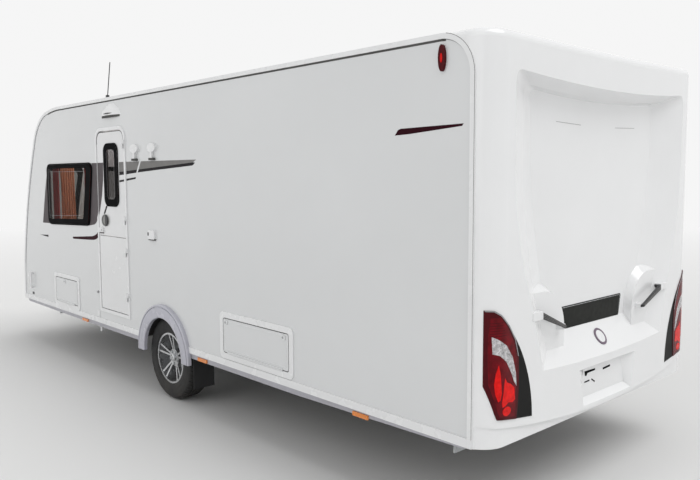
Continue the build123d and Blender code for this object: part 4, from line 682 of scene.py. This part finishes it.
# Windows in the side walls: a black border on each pane, a black edge, a seal round it and a thin line.
# Columns: name, side, y0, y1, z0, z1, lean of the rear edge, rise of the foot, borders front, top, rear, foot
FRONT_WINDOW = (-1.640, -0.586, 1.262, 1.838, 0.100, 0.028, 0.010, 0.040, 0.112, 0.050)
EVEN_BORDER = (0.046,) * 4
SIDE_WINDOWS = [
    ("front_nearside", 1, *FRONT_WINDOW),
    ("front_offside", -1, *FRONT_WINDOW),
    ("kitchen", -1, -0.330, 0.570, 1.290, 1.800, 0.0, 0.0, *EVEN_BORDER),
    ("rear", -1, 1.760, 2.500, 1.330, 1.800, 0.0, 0.0, *EVEN_BORDER),
]
WINDOW_R = 0.062
BORDER_START = 0.007
BORDER_THICK = 0.0005
SEAL_R = 0.0045
LINE_R = 0.0012
LINE_SUNK = 0.0004


def pane_outline(window, insets, radius):
    y0, y1, z0, z1, lean, rise = window[2:8]
    front, top, rear, foot = insets
    points = [
        (y0 + front, z1 - top),
        (y1 - rear, z1 - top),
        (y1 - lean - rear, z0 + rise + foot),
        (y0 + front, z0 + foot + rise * front / (y1 - y0)),
    ]
    return corner_arcs(points, radius, 8)


for window in SIDE_WINDOWS:
    name, side = window[:2]
    border = window[8:]
    outer = pane_outline(window, (BORDER_START,) * 4, WINDOW_R - BORDER_START)
    inner = pane_outline(window, border, 0.030)
    side_ring("window_border_" + name, outer, inner, side, PANE_FACE, BORDER_THICK, "black_seal")
    outer = pane_outline(window, (-0.0008,) * 4, WINDOW_R)
    inner = pane_outline(window, (0.0010,) * 4, WINDOW_R - 0.0010)
    side_ring("window_edge_" + name, outer, inner, side, SHEET, PANE_FACE - SHEET, "black_seal")
    rim = pane_outline(window, (-0.002,) * 4, WINDOW_R)
    side_bead("window_seal_" + name, rim, side, SHEET + 0.005, SEAL_R, "black_seal", 3)
    line = pane_outline(window, [inset + 0.030 for inset in border], 0.026)
    side_bead("window_line_" + name, line, side, PANE_FACE - LINE_SUNK, LINE_R, "grey_and_shade", 2)

# Door window: a black border, a seal and a thin line
DOOR_GLASS = (-0.323, -0.090, 1.488, 1.978)
y0, y1, z0, z1 = DOOR_GLASS
outer = rounded(*DOOR_GLASS, 0.0635, 8, -0.0135)
inner = rounded(y0 + 0.038, y1 - 0.034, z0 + 0.040, z1 - 0.034, 0.040, 8)
side_ring("door_window_border", outer, inner, 1, PANE_FACE, BORDER_THICK, "black_seal", TOP_LEAF)
rim = rounded(*DOOR_GLASS, 0.065, 8, -0.015)
side_bead("door_window_seal", rim, 1, LEAF_FACE + SEAL_R, SEAL_R, "black_seal", 3, TOP_LEAF)
line = rounded(y0 + 0.050, y1 - 0.046, z0 + 0.052, z1 - 0.046, 0.032, 8)
side_bead("door_window_line", line, 1, PANE_FACE - LINE_SUNK, 0.0011, "grey_and_shade", 2, TOP_LEAF)

# Door handle: a grey oval cup with a dark pull bar over its rear half. The cup is (y, z, half y, half z)
CUP = (-0.350, 1.348, 0.070, 0.052)


def cup_oval(share, steps=36, first=0.0, sweep=360.0):
    return oval(CUP[0], CUP[1], CUP[2] * share, CUP[3] * share, steps, first, sweep)


cup = side_ring("door_cup", cup_oval(1.0), cup_oval(0.84), 1, LEAF_FACE, 0.007, "cup_grey", TOP_LEAF, 0.002)
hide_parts("door_handle")
side_plate("door_cup_floor", cup_oval(0.85), 1, LEAF_FACE, 0.0015, "cup_grey", TOP_LEAF)
pull = cup_oval(0.98, 14, -74.0, 148.0)
side_plate("door_pull", pull, 1, LEAF_FACE, 0.0165, "black_plastic", TOP_LEAF, 0.003)

# The lock under the handle, a painted shadow along the top of the leaf under the frame, and a stud on the
# frame
LOCK_FACE = LEAF_FACE + 0.014
line = rectangle(-0.466, -0.392, 1.234, 1.241)
side_plate("lock_line", line, 1, LEAF_FACE, 0.008, "graphic_grey", TOP_LEAF)
barrel = [(0.0, 0.0), (0.0024, 0.0), (0.0024, 0.0085), (0.0, 0.0095)]
lathe("lock_barrel", barrel, (LOCK_FACE, -0.405, 1.264), (1, 0, 0), "bright_trim", TOP_LEAF)
slot = rectangle(-0.4062, -0.4038, 1.259, 1.269)
side_plate("lock_slot", slot, 1, LEAF_FACE + 0.0164, 0.0003, "black_seal", TOP_LEAF)
# Painted shadow: a dark strip round the top and upper sides of the leaf, where the frame shades it
seal = corner_arcs([
    (-0.477, 1.990), (-0.477, 2.0968), (0.027, 2.0968), (0.027, 1.990), (0.0225, 1.990), (0.0225, 2.090),
    (-0.4725, 2.090), (-0.4725, 1.990),
], [0, 0.071, 0.071, 0, 0, 0.066, 0.066, 0], 8)
side_plate("door_top_shadow", seal, 1, LEAF_FACE, 0.0008, "shadow_seam", TOP_LEAF)
stud = [(0.0, 0.0), (0.003, 0.0), (0.003, 0.006), (0.0, 0.007)]
lathe("door_stud", stud, (RAIL_FACE, 0.046, 1.093), (1, 0, 0), "grey_and_shade", count=20)

# Lens under the porch hood, dark with the painted shade that falls under the hood: its top edge arches in the
# middle
PORCH_Y = -0.194
PORCH_HALF = 0.183 * 0.93
PORCH_PROUD = 0.0336
PORCH_FOOT = 2.209
PORCH_LIP = 2.217
PORCH_TOP = 2.2235
PORCH_ARCH = 0.021
work = bmesh.new()
rows = []
for step in range(25):
    share = -1 + step / 12
    y = PORCH_Y + PORCH_HALF * share
    proud = PORCH_PROUD * max(0.02, 1 - share * share)
    top = PORCH_TOP + PORCH_ARCH * (1 - share * share)
    face = SHEET + proud
    inner = SHEET + proud * 0.86
    section = [(SHEET, PORCH_FOOT), (inner, PORCH_FOOT), (face, PORCH_LIP), (face, top), (SHEET, top)]
    rows.append([work.verts.new((x, y, z)) for x, z in section])
skin(work, rows)
work.faces.new(rows[0])
work.faces.new(rows[-1])
smooth_by_angle(from_bmesh("porch_lens_shade", work, "shadow_seam"))

# Dark blocks at the foot of the two brackets, painted shade in their lower openings, and on the door retainer
# a dark eye with a painted shadow under it
for index, y in enumerate((0.232, 0.518)):
    foot = rounded(y - 0.0375, y + 0.0375, 1.842, 1.860, 0.004, 3)
    side_plate(f"bracket_foot_shade_{index}", foot, 1, SHEET, 0.0206, "shadow_seam")
eye = rounded(0.428, 0.447, 1.262, 1.290, 0.008, 4)
side_plate("retainer_eye", eye, 1, SHEET + 0.018, 0.001, "black_plastic")
slit = rounded(0.440, 0.530, 1.2285, 1.2355, 0.003, 3)
side_plate("retainer_shadow", slit, 1, SHEET, 0.0186, "shadow_seam")

# Side hatches: a dark ring of painted shadow in the gap round each lid, a key in each latch.
# Columns: name, side, body, y0, y1, z0, z1, places of the latches along the lid
HATCHES = [
    ("small", 1, "small_hatch", -1.530, -1.004, 0.516, 0.753, (0.43,)),
    ("large", 1, "large_hatch", 1.455, 2.180, 0.525, 0.766, (0.045, 0.935)),
    ("cassette", -1, "cassette_hatch", 2.560, 2.980, 0.520, 0.900, (0.5,)),
]
HATCH_GAP = 0.006
HATCH_FACE = SHEET + 0.008
KEY_FACE = HATCH_FACE + 0.006
KEYHOLE_FACE = HATCH_FACE + 0.0076
LATCH_DROP = 0.0238
LATCH_INSET = 0.030
KEY = [(0.0, 0.0), (0.0016, 0.0), (0.0016, 0.0075), (0.0, 0.0085)]
for name, side, body, y0, y1, z0, z1, places in HATCHES:
    outer = rounded(y0, y1, z0, z1, 0.0197, 5, 0.0003)
    inner = rounded(y0, y1, z0, z1, 0.0176, 5, 0.0024)
    side_ring("hatch_gap_shadow_" + name, outer, inner, side, SHEET - 0.012, 0.0185, "shadow_seam")
    outer = rounded(y0 + 0.020, y1 - 0.020, z0 + 0.028, z1 - 0.020, 0.012, 4)
    inner = rounded(y0 + 0.0215, y1 - 0.0215, z0 + 0.0295, z1 - 0.0215, 0.0105, 4)
    side_ring("hatch_rib_" + name, outer, inner, side, HATCH_FACE, 0.0012, "trim", body, 0.0005)
    for index, place in enumerate(places):
        y = y0 + HATCH_GAP + place * (y1 - y0 - 2 * HATCH_GAP)
        y = min(max(y, y0 + LATCH_INSET), y1 - LATCH_INSET)
        z = z1 - HATCH_GAP - LATCH_DROP
        latch = f"{name}_{index}"
        lathe("hatch_key_" + latch, KEY, (side * KEY_FACE, y, z), (side, 0, 0), "bright_trim", body)
        hole = rectangle(y - 0.001, y + 0.001, z - 0.004, z + 0.004)
        side_plate("hatch_keyhole_" + latch, hole, side, KEYHOLE_FACE, 0.0003, "black_seal", body)

# Small things low on the nearside wall: a blank black plate, a knob and a drain pipe
side_plate("low_plate", rounded(-2.212, -2.162, 0.494, 0.520, 0.003, 3), 1, SHEET, 0.0015, "black_plastic")
knob = [(0.0, 0.0), (0.010, 0.0), (0.010, 0.009), (0.0, 0.012)]
lathe("low_knob", knob, (SHEET, -0.557, 0.707), (1, 0, 0), "grey_and_shade")
pipe = [(1.060, -0.561, 0.436), (1.062, -0.561, 0.380), (1.064, -0.558, 0.352)]
tube("drain_pipe", pipe, 0.011, "trim", 5)
for side, tag in SIDES:
    cap = rounded(3.534, 3.5595, 0.4355, 0.482, 0.006, 4)
    side_plate("corner_cap_" + tag, cap, side, RAIL_FACE, 0.0025, "trim", bevel=0.001)

# Front windows: black borders and a seal laid on the bowed panes
FRONT_PANES = {"middle": (-0.440, 0.440), "offside": (-0.950, -0.500), "nearside": (0.500, 0.950)}
front_skin = cast_surface(("windows", "front_moulding", "locker_lid"), -3.2, 1.0)


def dense(outline, step):
    """The same closed outline with points no further apart than a step."""
    result = []
    count = len(outline)
    for index in range(count):
        here = Vector(outline[index])
        there = Vector(outline[(index + 1) % count])
        parts = max(1, math.ceil((there - here).length / step))
        result += [tuple(here.lerp(there, part / parts)) for part in range(parts)]
    return result


for tag, (x0, x1) in FRONT_PANES.items():
    outline = dense(rounded(x0, x1, 1.190, 1.830, 0.070, 8), 0.03)
    middle = Vector(((x0 + x1) / 2, 1.510))
    half = Vector(((x1 - x0) / 2, 0.320))
    rings = []
    for inset in (-0.001, 0.046, 0.060, 0.0625):
        ring = []
        for point in outline:
            offset = Vector(point) - middle
            x = middle.x + offset.x * (half.x - inset) / half.x
            ring.append((x, middle.y + offset.y * (half.y - inset) / half.y))
        rings.append(ring)
    band_over("front_border_" + tag, rings[0], rings[1], front_skin, -SUNK, DECAL_THICK, "black_seal")
    band_over("front_line_" + tag, rings[2], rings[3], front_skin, -SUNK, DECAL_THICK, "grey_and_shade")

# Turn locks on the gas locker's lid, and a rubber grip on the handbrake lever
for side, tag in SIDES:
    knob = [(-0.002, 0.0), (-0.002, 0.021), (0.005, 0.020), (0.008, 0.016), (0.008, 0.0)]
    center = front_skin(side * 0.360, 0.600, 0.0)
    lathe("lid_lock_" + tag, knob, center, (0, -1, 0), "black_plastic", "gas_locker_lid", 32)
tube("brake_grip", [(0.052, -3.205, 0.620), (0.052, -3.133, 0.6785)], 0.0135, "rubber", 5)


# Tyres: tread blocks between grooves, and ribs on the sidewalls
WHEELS = ((1, "wheel_left", "nearside"), (-1, "wheel_right", "offside"))
AXLE_Y = 0.620
TYRE_RADIUS = 0.320
TYRE_MIDDLE_X = 0.955
RIM_RADIUS = 0.196
PITCHES = 64
STEPS_PER_PITCH = 6
GROOVE_DEPTH = 0.008
GROOVE_HALF = 0.0042


def tyre_profile():
    """Points (x from the middle, radius, kind) from one bead over the tread to the other bead."""
    right_half = [
        (0.083, RIM_RADIUS + 0.001, "bead"),
        (0.0885, RIM_RADIUS + 0.012, "bead"),
        (0.0905, RIM_RADIUS + 0.013, "side"),
        (0.0925, 0.226, "side"),
        (0.0938, 0.232, "side"),
        (0.0938, 0.236, "side"),
        (0.0930, 0.240, "side"),
        (0.0945, 0.258, "side"),
        (0.0942, 0.270, "side"),
        (0.0925, 0.283, "side"),
        (0.0905, 0.288, "side"),
        (0.0905, 0.291, "side"),
        (0.0870, 0.299, "shoulder"),
        (0.0790, 0.3080, "shoulder"),
        (0.0720, 0.3125, "tread"),
        (0.0640, 0.3160, "tread"),
        (0.0560, 0.3175, "tread"),
    ]
    for groove in (0.042, 0.014):
        for edge in (1.0, 0.8, -0.8, -1.0):
            x = groove + edge * GROOVE_HALF
            top = 0.320 - 0.0025 * (x / 0.056) ** 2
            kind = "tread" if abs(edge) == 1.0 else "groove"
            right_half.append((x, top - (GROOVE_DEPTH if kind == "groove" else 0), kind))
        if groove == 0.042:
            right_half.append((0.028, 0.3194, "tread"))
    right_half.append((0.0, 0.320, "tread"))
    left_half = [(-x, radius, kind) for x, radius, kind in reversed(right_half[:-1])]
    return right_half + left_half


for side, body, tag in WHEELS:
    profile = tyre_profile()
    count = PITCHES * STEPS_PER_PITCH
    center_x = side * TYRE_MIDDLE_X
    work = bmesh.new()
    rows = []
    for step in range(count):
        row = []
        for x, radius, kind in profile:
            # The shoulder blocks lean, and each rib has its own phase
            if kind in ("tread", "shoulder") and abs(x) > 0.047:
                phase = (step + (0 if x > 0 else 3)) % STEPS_PER_PITCH
                if phase == 0 and abs(x) < 0.080:
                    radius -= 0.006
            elif kind == "tread" and 0.018 < abs(x) < 0.040:
                phase = (step + (2 if x > 0 else 5)) % STEPS_PER_PITCH
                if phase == 0:
                    radius -= 0.004
            angle = 2 * math.pi * (step + 6 * x * 8) / count
            y = AXLE_Y + radius * math.sin(angle)
            z = TYRE_RADIUS - radius * math.cos(angle)
            row.append(work.verts.new((center_x + x, y, z)))
        rows.append(row)
    skin(work, rows + rows[:1])
    node = "tyre_" + tag
    piece = smooth_by_angle(from_bmesh("tyre_tread_" + tag, work, "tyre", body), 28)
    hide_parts(node)

# Wheel centres: a plain cap and five bolts
HUB_FACE_X = 1.014
BOLT_CIRCLE = 0.050
CAP = [(0.0, 0.0), (0.006, 0.0), (0.0075, 0.010), (0.006, 0.024), (0.004, 0.027), (0.0, 0.028)]
BOLT = [(-0.012, 0.0135), (0.001, 0.0125), (0.004, 0.0105), (0.007, 0.0100), (0.009, 0.0085), (0.009, 0.0)]
for side, body, tag in WHEELS:
    hub = (side * HUB_FACE_X, AXLE_Y, TYRE_RADIUS)
    lathe("hub_cap_" + tag, CAP, hub, (side, 0, 0), "alloy", body, 48)
    for index in range(5):
        angle = 2 * math.pi * (index + 0.5) / 5
        y = AXLE_Y + BOLT_CIRCLE * math.sin(angle)
        z = TYRE_RADIUS + BOLT_CIRCLE * math.cos(angle)
        center = (side * (HUB_FACE_X - 0.010), y, z)
        lathe(f"wheel_bolt_{tag}_{index}", BOLT, center, (side, 0, 0), "galvanised", body, 18)


# Curtains: pleated cloth gathered beside the side windows and the front ones
CURTAIN_Z = (1.236, 1.890)
CURTAIN_X = 1.027
PLEATS = 6
PLEAT_DEPTH = 0.0075
CLOTH_THICK = 0.0012
CURTAIN_ROWS = 36
CURTAIN_COLUMNS = 120


def curtain(name, place, start, end, heights, material, seed):
    """Pleated cloth; place(along, depth, z) gives the point at a distance along its rail."""
    rng = random.Random(seed)
    phases = [rng.uniform(-0.5, 0.5) for _ in range(4)]
    work = bmesh.new()
    grid = []
    z0, z1 = heights
    for row in range(CURTAIN_ROWS + 1):
        down = row / CURTAIN_ROWS
        z = z1 - (z1 - z0) * down
        line = []
        for column in range(CURTAIN_COLUMNS + 1):
            share = column / CURTAIN_COLUMNS
            fold = math.sin(2 * math.pi * PLEATS * share + 0.8 * math.sin(2.1 * down + phases[0]))
            second = math.sin(2 * math.pi * (PLEATS * 2 + 1) * share + 3 * down + phases[1])
            depth = PLEAT_DEPTH * (0.75 + 0.25 * down) * fold + 0.0012 * second
            along = start + (end - start) * share + 0.0025 * math.sin(5 * down + phases[2] + 9 * share)
            line.append(work.verts.new(place(along, depth, z)))
        grid.append(line)
    skin(work, grid, closed=False)
    piece = from_bmesh(name, work, material, smooth=True)
    solidify = piece.modifiers.new("thickness", "SOLIDIFY")
    solidify.thickness = CLOTH_THICK
    return piece


def beside_wall(side):
    return lambda along, depth, z: (side * CURTAIN_X + depth, along, z)


# Columns: name, start and end along the wall
SIDE_CURTAINS = [("front", -1.632, -1.500), ("rear", -0.874, -0.706)]
hung = []
for side, tag in SIDES:
    for name, start, end in SIDE_CURTAINS:
        name = f"curtain_{tag}_{name}"
        seed = len(hung) + 1
        hung.append(curtain(name, beside_wall(side), start, end, CURTAIN_Z, "curtain_red", seed))
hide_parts("curtains")

# Drapes between the front windows hang straight from the moulding's inner face; their orange is painted
# light, the cloth as it looks lit through from behind by the front windows
DRAPE_Z = (1.234, 1.850)
DRAPE_X = (0.628, 0.775)
DRAPE_RAIL_X = 0.70
DRAPE_GAP = 0.011
inner_face = cast_surface(("front_moulding",), -1.0, -1.0)
for side, tag in SIDES:
    rail_y = inner_face(side * DRAPE_RAIL_X, DRAPE_Z[1], 0.0).y + DRAPE_GAP
    start, end = (side * x for x in DRAPE_X)
    curtain(
        "drape_front_" + tag, lambda along, depth, z: (along, rail_y + depth, z), start, end, DRAPE_Z,
        "curtain_painted_backlight", 7 + side,
    )


# Cushions: each pad swells a little under its own pressure
PAD_VOXEL = 0.012
PAD_PRESSURE = 4.0
PAD_FRAMES = 20


def shape_now(piece):
    """The piece's mesh as its modifiers make it at this frame."""
    graph = bpy.context.evaluated_depsgraph_get()
    return bpy.data.meshes.new_from_object(piece.evaluated_get(graph))


def pad(name, x0, x1, y0, y1, z0, z1, material, shrink, cap_move, fill, voxel=PAD_VOXEL):
    low = Vector((min(x0, x1) + shrink, y0 + shrink, z0 + shrink))
    high = Vector((max(x0, x1) - shrink, y1 - shrink, z1 - shrink))
    work = bmesh.new()
    bmesh.ops.create_cube(work, size=1.0)
    for vertex in work.verts:
        for axis in range(3):
            vertex.co[axis] = low[axis] if vertex.co[axis] < 0 else high[axis]
    bmesh.ops.bevel(work, geom=list(work.edges), offset=0.03, segments=3, affect="EDGES", profile=0.6)
    piece = link_object(name, to_mesh(name, work))
    remesh = piece.modifiers.new("remesh", "REMESH")
    remesh.mode = "VOXEL"
    remesh.voxel_size = voxel
    bpy.context.view_layer.update()
    shaped = shape_now(piece)
    piece.modifiers.clear()
    piece.data = shaped
    rest = [vertex.co.copy() for vertex in shaped.vertices]
    cloth = piece.modifiers.new("cloth", "CLOTH")
    cloth.settings.use_pressure = True
    cloth.settings.uniform_pressure_force = PAD_PRESSURE
    cloth.settings.effector_weights.gravity = 0.0
    cloth.settings.quality = 4
    cloth.point_cache.frame_start = 1
    cloth.point_cache.frame_end = PAD_FRAMES
    for step in range(1, PAD_FRAMES + 1):
        scene.frame_set(step)
    swollen = shape_now(piece)
    piece.modifiers.clear()
    scene.frame_set(1)
    for vertex, start in zip(swollen.vertices, rest):
        move = vertex.co - start
        if move.length > cap_move:
            vertex.co = start + move.normalized() * cap_move
    piece.data = swollen
    piece.data.materials.clear()
    piece.data.materials.append(materials[material])
    piece.data.shade_smooth()
    softened = piece.modifiers.new("rounding", "SUBSURF")
    softened.levels = 1
    softened.render_levels = 1
    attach(piece, "caravan")
    return piece


CABIN = 1.046
PAD_Y = (-2.000, -0.650)
PAD_SPLIT = (PAD_Y[0] + PAD_Y[1]) / 2
first_pad = None
for side, tag in SIDES:
    for index, (y0, y1) in enumerate(((PAD_Y[0], PAD_SPLIT - 0.003), (PAD_SPLIT + 0.003, PAD_Y[1]))):
        cover = ("upholstery", 0.010, 0.012, 0.7)
        seat = pad(f"seat_{tag}_{index}", side * 0.450, side * 0.936, y0, y1, 0.880, 1.010, *cover)
        pad(f"seat_back_{tag}_{index}", side * 0.940, side * CABIN, y0, y1, 0.884, 1.228, *cover)
        first_pad = first_pad or seat
pad("mattress", -0.480, 1.026, 1.720, 3.460, 0.904, 1.050, "bedding", 0.008, 0.010, 0.8, 0.024)
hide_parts("cushions")


# Rear lamps, and what the rear moulding carries
REAR_FLAT = 0.957
REAR_CROWN_Y = 3.672
REAR_BOW = 37.16
CORNER_X = 0.950
CORNER_Y = 3.5075
CORNER_R = 0.140


def rear_lamp(side):
    """A map onto the lamp's face, which bows across the rear and turns round the corner."""
    def surface(x, z, grow):
        if abs(x) <= REAR_FLAT:
            y = REAR_CROWN_Y + grow - x * x / REAR_BOW
        else:
            reach = (CORNER_R + grow) ** 2 - (abs(x) - CORNER_X) ** 2
            y = CORNER_Y + math.sqrt(max(reach, 0.0))
        return Vector((side * x, y, z))

    return surface


# Columns: name, material, top above the body's face, dome, points (x, z)
LAMP_FACE = 0.0054
LAMP_PARTS = [
    ("field", "lens_red", 0.0005, 0.0, [
        (0.990, 1.062), (0.942, 1.008), (0.898, 0.938), (0.874, 0.858), (0.871, 0.766), (0.880, 0.572),
        (0.990, 0.588), (1.000, 0.612), (1.042, 0.745), (1.046, 0.860), (1.046, 0.960), (1.036, 1.060),
    ]),
    ("silver", "silver", 0.0011, 0.0, [
        (1.032, 0.973), (1.006, 0.961), (0.951, 0.926), (0.903, 0.862), (0.878, 0.785), (0.871, 0.718),
        (0.890, 0.742), (0.912, 0.788), (0.950, 0.847), (0.993, 0.882), (1.028, 0.892),
    ]),
    ("tall", "lens_bright", 0.0014, 0.0010, [
        (0.998, 0.838), (1.012, 0.800), (1.020, 0.749), (1.014, 0.700), (0.999, 0.662), (0.986, 0.668),
        (0.979, 0.700), (0.983, 0.750), (0.989, 0.800),
    ]),
    ("wide", "lens_bright", 0.0014, 0.0010, [
        (0.958, 0.772), (0.943, 0.748), (0.915, 0.736), (0.889, 0.715), (0.882, 0.655), (0.900, 0.645),
        (0.930, 0.650), (0.955, 0.636), (0.973, 0.632), (0.977, 0.655), (0.967, 0.705),
    ]),
    ("round", "lens_bright", 0.0014, 0.0010, oval(0.942, 0.609, 0.030, 0.022, 24)),
    ("rim", "grey_and_shade", 0.0016, 0.0, [
        (1.057, 1.097), (1.021, 1.095), (0.984, 1.072), (0.929, 1.016), (0.882, 0.945), (0.857, 0.861),
        (0.8615, 0.861), (0.8865, 0.943), (0.933, 1.012), (0.987, 1.067), (1.023, 1.0895),
        (1.057, 1.0915),
    ]),
]
STREAK_COUNT = 6
for side, tag in SIDES:
    surface = rear_lamp(side)
    for name, material, top, dome, points in LAMP_PARTS:
        draped(f"lamp_{name}_{tag}", points, surface, LAMP_FACE - SUNK, LAMP_FACE + top, material, dome=dome)
    for index in range(STREAK_COUNT):
        z = 1.035 - index * 0.0125
        x0 = 0.945 - 0.0048 * index
        streak = [(x0 + 0.030, z), (1.040, z), (1.040, z + 0.003), (x0 + 0.032, z + 0.003)]
        draped(f"lamp_streak_{tag}_{index}", streak, surface, LAMP_FACE, LAMP_FACE + 0.0012, "lens_dark")

# High marker lamps: domed red ovals
HIGH_MARKER = (3.370, 2.262, 0.0085, 0.0275)
MARKER_FACE = 1.0976
for side, tag in SIDES:
    y, z, half_y, half_z = HIGH_MARKER
    for share, grow in ((1.0, 0.0004), (0.8, 0.0008), (0.5, 0.0011)):
        outline = oval(y, z, half_y * share, half_z * share, 30)
        side_plate(f"high_marker_{tag}_{int(share * 10)}", outline, side, MARKER_FACE, grow, "lens_bright")

# The blank plaque on the flat above the grips, with its thin border
PLAQUE = [(0.338, 1.015), (-0.333, 1.016), (-0.308, 0.890), (0.300, 0.892)]
rear_skin = cast_surface(("rear_moulding",), 4.2, -1.0)


def inward(points, inset):
    """The same outline with every edge drawn in by an inset."""
    count = len(points)
    center = sum((Vector(point) for point in points), Vector((0, 0))) / count
    lines = []
    for index in range(count):
        start = Vector(points[index])
        along = (Vector(points[(index + 1) % count]) - start).normalized()
        across = Vector((-along.y, along.x))
        if across.dot(center - start) < 0:
            across = -across
        lines.append((start + across * inset, along))
    result = []
    for index in range(count):
        (p, d), (q, e) = lines[index - 1], lines[index]
        cross = d.x * e.y - d.y * e.x
        share = ((q.x - p.x) * e.y - (q.y - p.y) * e.x) / cross
        result.append(tuple(p + d * share))
    return result


REAR_STEP = 0.03
outline = dense(corner_arcs(PLAQUE, 0.012, 4), REAR_STEP)
draped("plaque", outline, rear_skin, -SUNK, 0.0016, "plaque", REAR_STEP)
outer = corner_arcs(inward(PLAQUE, 0.006), 0.010, 4)
inner = corner_arcs(inward(PLAQUE, 0.0085), 0.0075, 4)
band_over("plaque_border", outer, inner, rear_skin, 0.0012, 0.0021, "bright_trim")

# A plain ring disc on the sloping face under the plaque
RING_CENTER = Vector((0.002, 3.6165, 0.816))
RING_OUT = Vector((0.0, 0.823, 0.569))
RING = [(-0.004, 0.050), (0.0022, 0.050), (0.0032, 0.048), (0.0032, 0.039), (0.0022, 0.037), (0.0016, 0.0)]
RING_FIELD = [(0.0, 0.0365), (0.0024, 0.0365), (0.0030, 0.0)]
lathe("rear_ring", RING, RING_CENTER, RING_OUT, "ring_grey", count=72)
lathe("rear_ring_field", RING_FIELD, RING_CENTER, RING_OUT, "trim", count=72)

# Thin lines on the upper panel and small marks in the plate's recess, in (x, z)
THIN_LINES = [
    ("panel_line_nearside", 0.0014, "grey_and_shade", [(0.411, 1.990), (0.168, 1.982)]),
    ("panel_line_offside", 0.0014, "grey_and_shade", [(-0.211, 1.982), (-0.444, 1.989)]),
    ("recess_mark_0", 0.0060, "black_seal", [(-0.002, 0.633), (-0.084, 0.637)]),
    ("recess_mark_1", 0.0040, "black_seal", [(0.196, 0.594), (0.143, 0.595)]),
    ("recess_mark_2", 0.0040, "black_seal", [(0.122, 0.598), (0.085, 0.577)]),
]
for name, half, material, ends in THIN_LINES:
    (u0, v0), (u1, v1) = ends
    across = Vector((-(v1 - v0), u1 - u0)).normalized() * half
    outline = [
        (u0 + across.x, v0 + across.y),
        (u1 + across.x, v1 + across.y),
        (u1 - across.x, v1 - across.y),
        (u0 - across.x, v0 - across.y),
    ]
    draped(name, outline, rear_skin, -SUNK, DECAL_THICK, material, REAR_STEP)

draped("recess_mark_3", [
    (0.199, 0.655), (0.083, 0.652), (0.085, 0.641), (0.166, 0.640), (0.176, 0.626), (0.192, 0.628),
], rear_skin, -SUNK, DECAL_THICK, "black_seal", REAR_STEP)

# Grips: white mounts at both ends, and ribs along the bars
GRIP_ENDS = ((0.430, 0.937, 0.014), (0.662, 1.030, 0.030))
GRIP_FACE_Y = 3.659
GRIP_RIBS = (-0.26, 0.0, 0.26)
MOUNT_FOOT_Y = 3.590
# Columns: name, x0, x1, z0, z1, y of its face
GRIP_MOUNTS = [("outer", 0.653, 0.743, 1.007, 1.050, 3.6605), ("inner", 0.416, 0.452, 0.922, 0.952, 3.6430)]
for side, tag in SIDES:
    (x0, z0, h0), (x1, z1, h1) = GRIP_ENDS
    across = Vector((-(z1 - z0), x1 - x0)).normalized()
    for index, share in enumerate(GRIP_RIBS):
        edge = []
        for way, places in ((1, (0.05, 0.95)), (-1, (0.95, 0.05))):
            for t in places:
                lift = share * (h0 + (h1 - h0) * t) + way * 0.0011
                x = x0 + (x1 - x0) * t + across.x * lift
                edge.append((side * x, z0 + (z1 - z0) * t + across.y * lift))
        plate(f"grip_rib_{tag}_{index}", edge, onto_rear(GRIP_FACE_Y), (0, 1, 0), 0.0012, "graphic_light")
    for name, low, high, foot, top, face in GRIP_MOUNTS:
        outline = corner_arcs([(side * x, z) for x, z in rectangle(low, high, foot, top)], 0.006, 4)
        place = onto_rear(MOUNT_FOOT_Y)
        plate(f"grip_mount_{name}_{tag}", outline, place, (0, 1, 0), face - MOUNT_FOOT_Y, "trim", bevel=0.002)


# Floor, world and lights
FLOOR_HALF = 60.0
BACKDROP = 0.92
WHITE = (1.0, 1.0, 1.0, 1.0)
floor_mesh = bpy.data.meshes.new("studio_floor")
corners = [(x, y, 0) for x, y in rectangle(-FLOOR_HALF, FLOOR_HALF, -FLOOR_HALF, FLOOR_HALF)]
floor_mesh.from_pydata(corners, [], [(0, 1, 2, 3)])
studio_floor = link_object("studio_floor", floor_mesh)
tree, shader, coords = new_material("studio_floor")
fill(tree, shader, {"Base Color": (0.74, 0.74, 0.735, 1.0), "Roughness": 0.7, "Specular IOR Level": 0.2})
# Far from the caravan the floor turns into the backdrop, so no horizon shows
glow = add_node(tree, "Emission", {"Color": WHITE, "Strength": BACKDROP})
reach = add_node(tree, "VectorMath", {0: coords})
reach.operation = "LENGTH"
far = spread(tree, reach.outputs["Value"], 0.0, 1.0, 5.0, 20.0)
blend = add_node(tree, "MixShader", {0: far, 1: shader.outputs[0], 2: glow.outputs[0]})
fill(tree, tree.nodes["Material Output"], {"Surface": blend.outputs[0]})
floor_mesh.materials.append(materials["studio_floor"])

world = bpy.data.worlds.new("studio")
scene.world = world
world.use_nodes = True
tree = world.node_tree
rays = add_node(tree, "LightPath", {}).outputs
seen = combine(tree, "MAXIMUM", rays["Is Camera Ray"], rays["Is Glossy Ray"])
seen = combine(tree, "MAXIMUM", seen, rays["Is Transmission Ray"])
strength = spread(tree, seen, 0.62, BACKDROP, 0.0, 1.0)
fill(tree, tree.nodes["Background"], {"Color": WHITE, "Strength": strength})

# Columns: name, direction it comes from, strength, softness in degrees
SUNS = [
    ("key", (-0.30, 0.62, 1.20), 1.25, 45),
    ("fill", (1.0, 0.10, 0.45), 0.5, 60),
]
for name, direction, power, softness in SUNS:
    data = bpy.data.lights.new(name, "SUN")
    data.energy = power
    data.angle = math.radians(softness)
    lamp = link_object(name, data)
    lamp.rotation_euler = Vector(direction).to_track_quat("Z", "Y").to_euler()

# A soft lamp in the cabin's ceiling, so that the curtains show through the tinted panes
cabin_light = bpy.data.lights.new("cabin", "POINT")
cabin_light.energy = 32.0
cabin_light.shadow_soft_size = 0.25
link_object("cabin", cabin_light).location = (0.0, -1.300, 2.050)

scene.view_settings.view_transform = "Standard"
